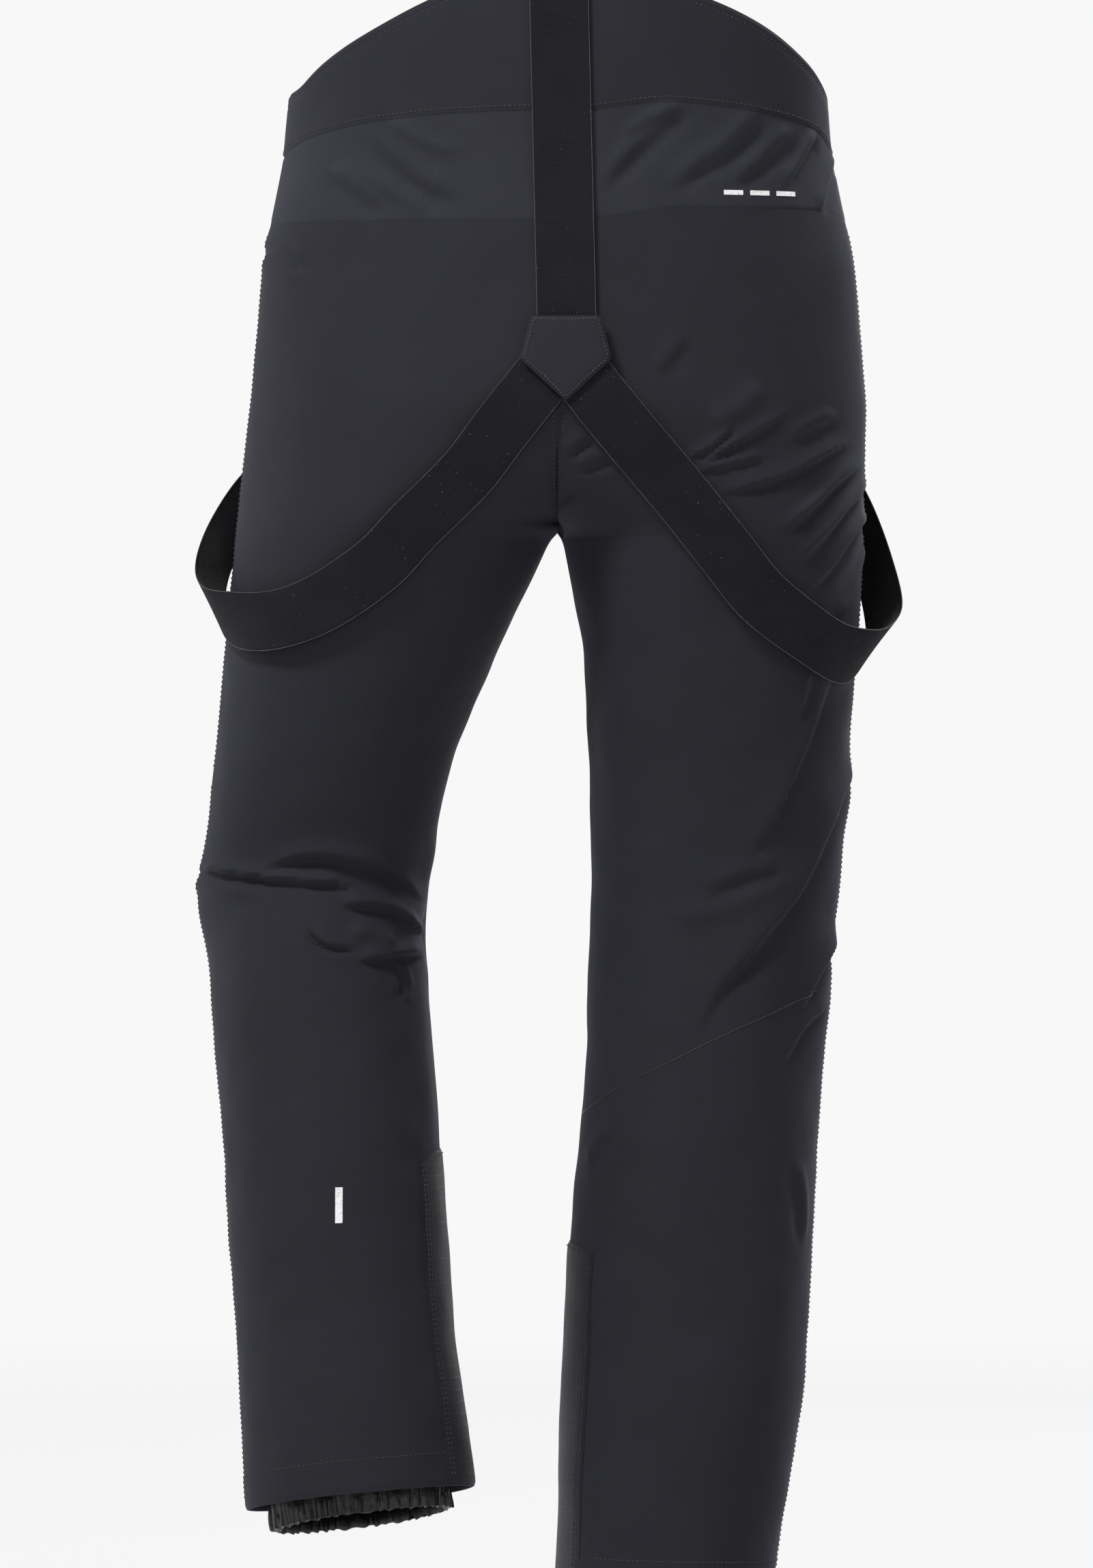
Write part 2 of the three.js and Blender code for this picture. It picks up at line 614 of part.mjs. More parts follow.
function rectangle(width, height, Outline) {
  const outline = new Outline();
  outline.moveTo(-width / 2, -height / 2);
  outline.lineTo(width / 2, -height / 2);
  outline.lineTo(width / 2, height / 2);
  outline.lineTo(-width / 2, height / 2);
  outline.closePath();
  return outline;
}

// ---------------------------------------------------------------- assembly

const pants = new THREE.Group();
pants.add(...waistband(), yoke());
for (const [name, column, route] of [["left", LEFT, LEFT_ROUTE], ["right", RIGHT, RIGHT_ROUTE]]) {
  const { thigh, shin } = legPanels(name, column);
  const legGroup = new THREE.Group();
  legGroup.add(...thigh, ...shin, kickPatch(name, column), ...gaiter(name, column));
  pants.add(...seatPanels(name, column), legGroup, pocketBag(name, column));
  pants.add(...zip(`pocket_zip_${name}`, column, radians(POCKET.angle), POCKET.top, POCKET.bottom));
  pants.add(braceStrap(name, column, route), ...braceFront(name, column));
}
pants.add(...zip("fly_zip", LEFT, -Math.PI / 2, FLY.top, FLY.bottom), flyShield(), ...closure());
pants.add(backStrap(), junctionPatch());

export default pants;
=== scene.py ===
"""Ski pants with dropped braces: sewn cloth panels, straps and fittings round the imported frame.

Shapes are worked out in millimetres in the frame of the part, and written to meshes in metres.
+X is the wearer's left, -Y the front and +Z up. An angle on a section runs from 0 at the outer
side, through 90 degrees at the back and -90 at the front, to 180 at the inner side.
"""

import math

import bpy
import numpy as np
from mathutils import Matrix, Quaternion, Vector, noise


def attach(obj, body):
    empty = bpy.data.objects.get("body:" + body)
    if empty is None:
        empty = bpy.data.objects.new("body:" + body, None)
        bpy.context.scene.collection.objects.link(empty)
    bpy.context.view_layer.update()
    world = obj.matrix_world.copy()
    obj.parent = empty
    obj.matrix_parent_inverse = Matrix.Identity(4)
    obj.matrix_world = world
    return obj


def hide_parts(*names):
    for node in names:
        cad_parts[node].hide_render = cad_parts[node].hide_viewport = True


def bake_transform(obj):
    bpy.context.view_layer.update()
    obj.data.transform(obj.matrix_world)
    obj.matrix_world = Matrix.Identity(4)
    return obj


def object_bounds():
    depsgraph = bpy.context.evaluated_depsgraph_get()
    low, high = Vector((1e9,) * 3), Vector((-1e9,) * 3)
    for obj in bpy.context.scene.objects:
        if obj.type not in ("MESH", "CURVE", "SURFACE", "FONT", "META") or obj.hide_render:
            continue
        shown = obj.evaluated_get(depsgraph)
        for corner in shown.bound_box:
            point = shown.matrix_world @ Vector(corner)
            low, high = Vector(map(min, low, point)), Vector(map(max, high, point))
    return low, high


bl_info = {
    "name": "Ski pants with braces",
    "version": (1, 0, 0),
    "blender": (4, 5, 0),
    "location": "View3D > Sidebar > Ski pants",
    "description": "Builds the cloth panels, cuffs, zips, braces and stage of a pair of ski pants",
    "category": "Add Mesh",
}

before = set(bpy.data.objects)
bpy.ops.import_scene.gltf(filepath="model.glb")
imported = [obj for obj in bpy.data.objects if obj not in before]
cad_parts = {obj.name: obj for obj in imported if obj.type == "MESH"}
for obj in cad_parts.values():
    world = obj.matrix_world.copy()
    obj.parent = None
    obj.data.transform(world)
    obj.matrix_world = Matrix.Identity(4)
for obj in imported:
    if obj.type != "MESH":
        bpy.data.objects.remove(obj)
CAD_BOX = [list(corner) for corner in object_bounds()]
MM = 0.001
TAU = 2 * math.pi
BACK = math.pi / 2
FRONT = -math.pi / 2

# ---- Sizes in millimetres ----
ROUNDNESS = 2.2
SEAM_MARGIN = 0.3
SEAM_LAP = 0.15
CLOTH = 1.4
SPACING = 2.5
BAND = {
    "back_top": 50,
    "side_top": -28,
    "front_top": -42,
    "back_seam": -42,
    "side_seam": -70,
    "front_seam": -82,
    "sweep": 1.3,
    "slump": 11,
}
YOKE_SEAM = -115
# A height between the waist and the crotch, at which a panel's edges are read for its size.
MID_HEIGHT = -200.0
# Millimetres of cloth to a radian round the band, the hips and the shins.
BAND_RADIUS, HIP_RADIUS, SHIN_RADIUS = 107, 130, 80
STITCH_INSET = 3.0
PRINT_DIP = -0.3
SEAM_RISE = 8.5
CROTCH = -321
LEG_SPLIT = -492
# Sections: height, centre, half width, and depth behind and in front.
TRUNK = [
    (50, 0, 177, 109, 107),
    (-70, 0, 187, 116, 112),
    (-140, 0, 201.5, 125, 115),
    (-240, 0, 210, 136, 118),
]
LEFT_LEG = [
    (-321, 110, 109, 118, 112),
    (-400, 133, 94, 104, 112),
    (-470, 151.5, 81.5, 88, 112),
    (-554, 166.5, 76.5, 58, 108),
    (-640, 162.5, 74.5, 76, 92),
    (-736, 155, 74, 95, 73),
    (-870, 145, 73, 119, 43),
    (-980, 134, 77, 139, 19),
]
RIGHT_LEG = [
    (-321, 104.5, 103.5, 118, 112),
    (-400, 110.5, 93.5, 105, 107),
    (-496, 109.5, 87.5, 90, 98),
    (-577, 106.5, 83.5, 80, 88),
    (-698, 98, 81, 84, 82),
    (-800, 91.5, 82.5, 87, 76),
    (-900, 86, 82, 91, 71),
    (-1043, 72, 73.5, 94, 64),
]
HIP_BEND = (-321, -470)
KNEE_BEND = {"left": (-500, -612), "right": (-520, -636)}
HEM_FOLD = 22
WEBBING = {"width": 40, "thickness": 2}


# ------------------------------------------------------------------ columns of sections


def signed_power(value, power):
    return np.sign(value) * np.abs(value) ** power


def smoothstep(low, high, value):
    share = np.clip((value - low) / (high - low), 0, 1)
    return share * share * (3 - 2 * share)


class Column:
    """One half of the pants as sections from the waist to the hem."""

    TAPS = np.linspace(-14, 14, 9)
    RUN_ON = 60

    def __init__(self, side, leg, slant, lift):
        self.side = side
        self.hem_z, self.slant, self.lift = leg[-1][0], slant, lift
        rows = [(z, side * half, -side * half, back, front) for z, _, half, back, front in TRUNK]
        rows += [(z, side * (c + h), side * (c - h), back, front) for z, c, h, back, front in leg]
        last, before = np.array(rows[-1]), np.array(rows[-2])
        rows.append(last + (last - before) * self.RUN_ON / abs(last[0] - before[0]))
        self.rows = np.array(rows[::-1], float)
        weights = 1.2 - np.abs(self.TAPS) / self.TAPS[-1]
        self.weights = weights / weights.sum()

    def section(self, z):
        """Centre and half sizes at each height, with the kinks between stations rounded off."""
        z = np.asarray(z, float)
        values = []
        for key in range(1, 5):
            taps = zip(self.TAPS, self.weights)
            values.append(sum(w * np.interp(z + t, self.rows[:, 0], self.rows[:, key]) for t, w in taps))
        outer, inner, back, front = values
        return (outer + inner) / 2, (outer - inner) / 2, (back - front) / 2, (back + front) / 2

    def at(self, z, angle, offset=0.0):
        """Points on the section at each height and angle, offset outwards."""
        centre_x, half_x, centre_y, half_y = self.section(z)
        power = 2 / ROUNDNESS
        x = centre_x + (half_x + self.side * offset) * signed_power(np.cos(angle), power)
        y = centre_y + (half_y + offset) * signed_power(np.sin(angle), power)
        return np.stack(np.broadcast_arrays(x, y, np.asarray(z, float)), -1)

    def angle_at(self, z, x):
        """The angle, on the back, at which a section reaches x."""
        centre_x, half_x, _, _ = self.section(z)
        reach = np.clip((x - centre_x) / half_x, -1, 1)
        return np.arccos(signed_power(reach, ROUNDNESS / 2))

    def middle(self, z):
        """The angle at which a panel meets the other leg's: the centre plane, then the inner seam."""
        return self.angle_at(z, self.side * SEAM_MARGIN)

    def hem(self, angle, above=0.0):
        return self.hem_z - self.slant * np.cos(angle) + self.lift * np.sin(angle) + above


LEFT = Column(1, LEFT_LEG, 8, 8)
RIGHT = Column(-1, RIGHT_LEG, 2, 0)
SIDES = {"left": LEFT, "right": RIGHT}


def seam_rise(angle):
    """The seams behind stand a little higher on the wearer's right."""
    return SEAM_RISE * smoothstep(0.05, 0.4, -np.cos(angle)) * smoothstep(0, 0.35, np.sin(angle))


def band_top(angle):
    rise = np.sin(angle)
    back = BAND["side_top"] + (BAND["back_top"] - BAND["side_top"]) * np.clip(rise, 0, 1) ** BAND["sweep"]
    front = BAND["side_top"] + (BAND["front_top"] - BAND["side_top"]) * np.clip(-rise, 0, 1)
    slump = BAND["slump"] * smoothstep(0.15, 0.75, np.cos(angle)) * smoothstep(0, 0.35, rise)
    return np.where(rise > 0, back, front) - slump


def band_seam(angle):
    rise = np.sin(angle)
    end = np.where(rise > 0, BAND["back_seam"], BAND["front_seam"])
    return BAND["side_seam"] + (end - BAND["side_seam"]) * np.abs(rise) + seam_rise(angle)


def yoke_seam(angle):
    return YOKE_SEAM + seam_rise(angle)


# ------------------------------------------------------------------ folds in the cloth

# Each fold is where it runs, as x and z in millimetres, with its depth, its half width and its kind.
# A crease is a valley between two soft ridges, a shelf hangs over the cloth below it, a drape is a
# softer shelf, and a roll is a soft ridge.
BACK_FOLDS = [
    # behind the left knee
    ("shelf", [(247, -554), (236, -555), (222, -557), (200, -561), (169, -564), (150, -565),
     (132, -568)], 4.2, 3.8),
    ("shelf", [(206, -556), (184, -548), (166, -546), (146, -548), (123, -553), (108, -560),
     (86, -578)], 4.8, 5.2),
    ("shelf", [(150, -579), (129, -579), (108, -585), (86, -600)], 4.2, 4.6),
    ("roll", [(144, -594), (126, -598), (110, -605)], 2.6, 6.5),
    ("crease", [(172, -594), (160, -606), (134, -611)], 2.4, 2.6),
    ("shelf", [(136, -616), (114, -615), (88, -611)], 4.2, 4.6),
    ("crease", [(111, -620), (105, -631), (107, -642)], 2.0, 3.6),
    ("roll", [(256, -562), (236, -566), (200, -573)], 1.4, 5.0),
    # left hip and yoke
    ("crease", [(206, -133), (188, -139), (170, -151)], 1.8, 4.0),
    ("drape", [(130, -54), (107, -78), (91, -92), (66, -108)], 2.2, 7.5),
    ("drape", [(156, -80), (139, -94), (118, -110)], 2.0, 6.5),
    ("roll", [(144, -74), (108, -96), (86, -112)], 1.2, 6.0),
    ("roll", [(118, -46), (91, -61), (64, -73)], 1.4, 5.5),
    # right yoke
    ("drape", [(-24, -100), (-46, -78), (-63, -61), (-77, -48), (-90, -39)], 2.4, 6.5),
    ("drape", [(-72, -100), (-94, -80), (-112, -69), (-128, -54), (-142, -42)], 2.8, 7.0),
    ("drape", [(-116, -94), (-133, -78), (-149, -64), (-164, -53)], 2.4, 6.0),
    ("drape", [(-151, -97), (-162, -78), (-170, -64), (-177, -52)], 2.8, 4.6),
    ("drape", [(-178, -112), (-183, -90), (-189, -66)], 2.0, 5.0),
    ("drape", [(-45, -62), (-63, -50), (-84, -40)], 1.4, 4.5),
    # right buttock, fanning out from the strap to the side
    ("drape", [(-66, -222), (-77, -210), (-88, -194)], 1.4, 6.0),
    ("drape", [(-86, -279), (-103, -269), (-119, -255)], 1.8, 2.8),
    ("roll", [(-98, -256), (-121, -243), (-139, -222)], 2.0, 8.0),
    ("shelf", [(-95, -281), (-116, -270), (-132, -260), (-160, -242)], 3.0, 3.8),
    ("shelf", [(-92, -288), (-116, -282), (-141, -276)], 2.4, 2.9),
    ("shelf", [(-103, -304), (-132, -295), (-153, -288), (-180, -275), (-202, -263)], 3.2, 4.2),
    ("drape", [(-155, -265), (-172, -256), (-190, -249)], 1.8, 5.0),
    ("drape", [(-148, -327), (-173, -309), (-189, -293), (-212, -271)], 3.4, 5.0),
    ("drape", [(-158, -350), (-180, -330), (-196, -312), (-214, -288)], 3.4, 5.4),
    ("drape", [(-166, -367), (-186, -349), (-201, -330), (-214, -310)], 3.4, 5.0),
    ("drape", [(-188, -393), (-197, -373), (-204, -354), (-209, -332)], 3.0, 4.6),
    # crotch
    ("crease", [(-14, -278), (-22, -271), (-32, -264)], 1.8, 3.2),
    ("crease", [(-20, -287), (-32, -282), (-44, -277)], 1.6, 3.2),
    ("crease", [(-5, -312), (-12, -304), (-20, -299)], 1.6, 3.4),
    # back of the right thigh and knee
    ("shelf", [(-190, -416), (-177, -448), (-168, -474), (-158, -497), (-148, -521), (-122, -556)], 3.4, 8.0),
    ("shelf", [(-206, -470), (-189, -515), (-175, -549), (-158, -579), (-140, -601), (-115, -629),
     (-88, -676)], 4.6, 9.5),
    ("drape", [(-174, -418), (-167, -438), (-160, -452)], 1.8, 4.0),
    ("drape", [(-152, -552), (-128, -558), (-95, -571)], 2.0, 6.0),
    ("roll", [(-70, -584), (-115, -579), (-158, -557)], 1.8, 9.0),
    ("shelf", [(-194, -594), (-177, -627), (-164, -652)], 3.4, 7.0),
    ("shelf", [(-184, -645), (-168, -662), (-152, -686)], 3.0, 6.5),
    ("drape", [(-158, -752), (-164, -776), (-166, -812)], 2.0, 7.0),
    ("drape", [(-20, -760), (-28, -744), (-40, -728)], 1.2, 7.0),
]
FRONT_FOLDS = [
    # slack across the front of the hips
    ("crease", [(60, -250), (100, -236), (150, -212)], 1.8, 8.0),
    ("crease", [(-60, -250), (-104, -238), (-150, -218)], 1.8, 8.0),
    ("crease", [(12, -300), (44, -284), (86, -272)], 2.8, 6.5),
    ("crease", [(-12, -302), (-46, -288), (-90, -280)], 2.8, 6.5),
    ("crease", [(20, -322), (58, -316), (104, -318)], 2.4, 7.0),
    ("crease", [(-22, -326), (-60, -322), (-108, -330)], 2.4, 7.0),
    ("roll", [(64, -352), (108, -344), (166, -322)], 2.2, 12.0),
    ("roll", [(-40, -358), (-92, -352), (-160, -330)], 2.2, 12.0),
    # over and under the knees
    ("crease", [(92, -600), (128, -614), (176, -612), (232, -594)], 2.6, 8.0),
    ("crease", [(96, -652), (140, -664), (196, -652)], 2.0, 9.0),
    ("crease", [(-30, -622), (-72, -638), (-128, -636), (-182, -616)], 2.4, 8.0),
    ("crease", [(-28, -682), (-78, -694), (-150, -678)], 1.8, 9.0),
    ("roll", [(110, -500), (150, -512), (204, -504)], 1.8, 14.0),
    # slack over the boots
    ("crease", [(84, -884), (128, -896), (190, -880)], 2.2, 9.0),
    ("crease", [(74, -926), (120, -936), (178, -922)], 1.8, 9.0),
    ("crease", [(-20, -930), (-66, -944), (-128, -928)], 2.2, 9.0),
    ("crease", [(-12, -980), (-58, -990), (-118, -976)], 1.8, 9.0),
]


# Loose cloth standing out or drawn in at the outline: height, angle in degrees, depth and radius.
PUFFS = {
    "left": [(-578, 4, 6.0, 30), (-550, 178, 4.0, 24), (-600, 178, -4.0, 15)],
    "right": [(-498, 2, 3.0, 22), (-600, 0, -2.0, 18)],
}


def on_surface(points, face):
    """Places of x and z points on the back or front of the pants, as smooth lines in space."""
    corners = np.array(points, float)
    steps = np.linspace(0, len(corners) - 1, 6 * len(corners))
    x, z = (spline(corners[:, key], steps) for key in range(2))
    column = LEFT if corners[:, 0].mean() > 0 else RIGHT
    centre_x, half_x, _, half_y = column.section(z)
    beyond = np.maximum(column.side * (x - centre_x) - abs(half_x), 0)
    angle = face * (column.angle_at(z, x) - beyond / half_y)
    return column.at(z, angle)


def spline(values, steps):
    """A smooth curve through values, read at fractional steps."""
    values = np.asarray(values, float)
    padded = np.concatenate([2 * values[:1] - values[1:2], values, 2 * values[-1:] - values[-2:-1]])
    index = np.clip(np.floor(steps).astype(int), 0, len(values) - 2)
    share = steps - index
    if values.ndim > 1:
        share = share[:, None]
    p0, p1, p2, p3 = (padded[index + k] for k in range(4))
    curve = (2 * p0 - 5 * p1 + 4 * p2 - p3) * share**2 + (3 * p1 - p0 - 3 * p2 + p3) * share**3
    return p1 + 0.5 * ((p2 - p0) * share + curve)


def fold_profile(kind, across, width):
    """Height of a fold at a signed distance from its line, for a depth of 1."""

    def bump(centre, spread):
        return np.exp(-(((across - centre * width) / (spread * width)) ** 2))

    if kind == "crease":
        return 0.5 * bump(1.9, 1.5) + 0.3 * bump(-1.9, 1.5) - bump(0, 0.9)
    if kind == "shelf":
        lip, hollow = 0.6 * bump(0.3, 1.9), -0.4 * bump(-0.1, 1.2)
        return hollow + (lip - hollow) * smoothstep(-0.42 * width, 0.42 * width, across)
    if kind == "drape":
        return 0.6 * bump(0.8, 1.0) - 0.6 * bump(-0.8, 0.9)
    return bump(0, 1.0)


class Folds:
    """Every fold and the loose roll of the cloth, as an outward offset at points on the surface."""

    REACH = 4.5

    def __init__(self, depth):
        self.lines = []
        for face, folds in ((1, BACK_FOLDS), (-1, FRONT_FOLDS)):
            for kind, points, height, width in folds:
                self.lines.append((kind, on_surface(points, face), height * depth, width))
        self.puffs = [
            (SIDES[name].at(float(z), math.radians(turn)), height, radius)
            for name, puffs in PUFFS.items()
            for z, turn, height, radius in puffs
        ]

    def offset(self, points):
        flat = points.reshape(-1, 3)
        total = self.roll(flat)
        warp = np.stack([noise_at(flat, 46, seed) for seed in (11, 12, 13)], -1)
        bent = flat + 2.5 * warp
        for kind, line, depth, width in self.lines:
            low = line.min(0) - self.REACH * width
            high = line.max(0) + self.REACH * width
            near = np.nonzero(((bent > low) & (bent < high)).all(1))[0]
            if len(near):
                total[near] += depth * self.one(kind, bent[near], line, width)
        for centre, height, radius in self.puffs:
            away = np.linalg.norm(flat - centre, axis=1)
            total += height * np.exp(-((away / radius) ** 2))
        return total.reshape(points.shape[:-1])

    def one(self, kind, points, line, width):
        best = np.full(len(points), 1e9)
        across = np.zeros(len(points))
        along = np.zeros(len(points))
        spans = len(line) - 1
        for index in range(spans):
            start, run = line[index], line[index + 1] - line[index]
            share = np.clip((points - start) @ run / (run @ run), 0, 1)
            away = points - start - share[:, None] * run
            distance = np.linalg.norm(away, axis=1)
            upward = away[:, 2] - away @ run * run[2] / (run @ run)
            sign = np.where(upward >= 0, 1, -1)
            closer = distance < best
            best = np.where(closer, distance, best)
            across = np.where(closer, sign * distance, across)
            along = np.where(closer, (index + share) / spans, along)
        taper = smoothstep(0, 0.25, along) * smoothstep(1, 0.75, along)
        return taper * fold_profile(kind, across, width * (0.7 + 0.3 * taper))

    def roll(self, points):
        """Loose cloth is never quite round: long shallow waves, stronger down the legs."""
        legs = 0.5 + 0.5 * smoothstep(-250, -450, points[:, 2])
        stretched = points * np.array([1.0, 1.0, 0.55])
        return legs * (2.0 * noise_at(stretched, 62, 1) + 0.7 * noise_at(points, 27, 2))


def noise_at(points, size, seed):
    """Smooth noise between about -1 and 1, with features of the given size in millimetres."""
    shift = Vector((seed * 17.3, seed * 9.1, seed * 5.7))
    return np.array([noise.noise(Vector(p) + shift) for p in (points / size)])


# ------------------------------------------------------------------ meshes


def unit(vectors):
    return vectors / np.maximum(np.linalg.norm(vectors, axis=-1, keepdims=True), 1e-9)


class Draft:
    """Collects grids, rims and stitches, and writes them as one mesh."""

    def __init__(self):
        self.points, self.normals, self.maps = [], [], []
        self.faces, self.materials, self.smooth = [], [], []
        self.count = 0

    def add(self, points, faces, material=0, normals=None, weave=None, smooth=True):
        points = np.asarray(points, float).reshape(-1, 3)
        blank = np.zeros_like(points)
        self.points.append(points)
        self.normals.append(blank if normals is None else normals.reshape(-1, 3))
        self.maps.append(blank[:, :2] if weave is None else weave.reshape(-1, 2))
        faces = np.asarray(faces, int)
        self.faces.append(faces + self.count)
        self.materials.append(np.full(len(faces), material))
        self.smooth.append(np.full(len(faces), smooth))
        self.count += len(points)

    def build(self, name, materials, keep_normals=True):
        mesh = bpy.data.meshes.new(name)
        points = np.concatenate(self.points)
        mesh.vertices.add(len(points))
        mesh.vertices.foreach_set("co", (points * MM).ravel())
        corners = np.concatenate([f.ravel() for f in self.faces])
        sizes = np.concatenate([np.full(len(f), f.shape[1]) for f in self.faces])
        mesh.loops.add(len(corners))
        mesh.loops.foreach_set("vertex_index", corners)
        mesh.polygons.add(len(sizes))
        mesh.polygons.foreach_set("loop_start", np.concatenate([[0], np.cumsum(sizes)[:-1]]))
        mesh.polygons.foreach_set("material_index", np.concatenate(self.materials))
        mesh.polygons.foreach_set("use_smooth", np.concatenate(self.smooth))
        mesh.update(calc_edges=True)
        layer = mesh.uv_layers.new(name="weave")
        layer.uv.foreach_set("vector", (np.concatenate(self.maps)[corners] * MM).ravel())
        if keep_normals:
            mesh.normals_split_custom_set_from_vertices(np.concatenate(self.normals))
        for material in materials:
            mesh.materials.append(material)
        piece = bpy.data.objects.new(name, mesh)
        bpy.context.scene.collection.objects.link(piece)
        return piece


def quads(rows, columns, first=0, flip=False):
    """Faces of a grid of points."""
    corner = first + np.arange(rows - 1)[:, None] * columns + np.arange(columns - 1)[None, :]
    faces = np.stack([corner, corner + columns, corner + columns + 1, corner + 1], -1).reshape(-1, 4)
    return faces[:, ::-1] if flip else faces


def ring_faces(rows, count):
    """Faces between closed rings of points, each ring following the last."""
    around = np.arange(count)
    low = np.arange(rows - 1)[:, None] * count
    a, b = low + around, low + (around + 1) % count
    return np.stack([a, b, b + count, a + count], -1).reshape(-1, 4)


def placed(frame, points):
    """Points of a frame, in the space of the part."""
    return np.asarray(points, float) @ np.array(frame.to_3x3()).T + np.array(frame.translation)


def grid_normals(grid, centre):
    """Outward normals of a grid of points, and whether its rows and columns run inside out."""
    down = np.gradient(grid, axis=0)
    along = np.gradient(grid, axis=1)
    normals = unit(np.cross(down, along))
    inside_out = ((grid - centre) * normals).sum() < 0
    return (-normals, True) if inside_out else (normals, False)


def add_solid(draft, outer, inner, normals, flip, weave, material=0, lining=0):
    """A closed piece of cloth between an outer and an inner grid."""
    rows, columns = outer.shape[:2]
    face = quads(rows, columns, flip=flip)
    draft.add(outer, face, material, normals, weave)
    draft.add(inner, face[:, ::-1], lining, -normals, weave)
    for edge in (np.s_[0, :], np.s_[-1, :], np.s_[:, 0], np.s_[:, -1]):
        strip = np.stack([outer[edge], inner[edge]])
        rim = quads(2, strip.shape[1])
        outward = unit(strip.mean((0, 1)) - outer.mean((0, 1)))
        first = strip.reshape(-1, 3)[rim[len(rim) // 2]]
        turn = np.cross(first[1] - first[0], first[2] - first[0]) @ outward < 0
        edge_map = np.stack([weave[edge], weave[edge]])
        draft.add(strip, rim[:, ::-1] if turn else rim, material, None, edge_map, smooth=False)


def shares(length, spacing, dense_start, dense_end):
    """Places along a grid's side, closer together at the edges that are sewn under."""
    count = max(3, int(round(length / spacing)))
    places = list(np.linspace(0, 1, count + 1))
    near = [0.9 / length, 2.0 / length]
    if dense_start:
        places += near
    if dense_end:
        places += [1 - share for share in near]
    return np.array(sorted(set(places)))


def sewn_dip(distance, depth=1.1, reach=1.9):
    """How far the cloth turns under at a distance from a seam."""
    return depth * np.exp(-((distance / reach) ** 2))


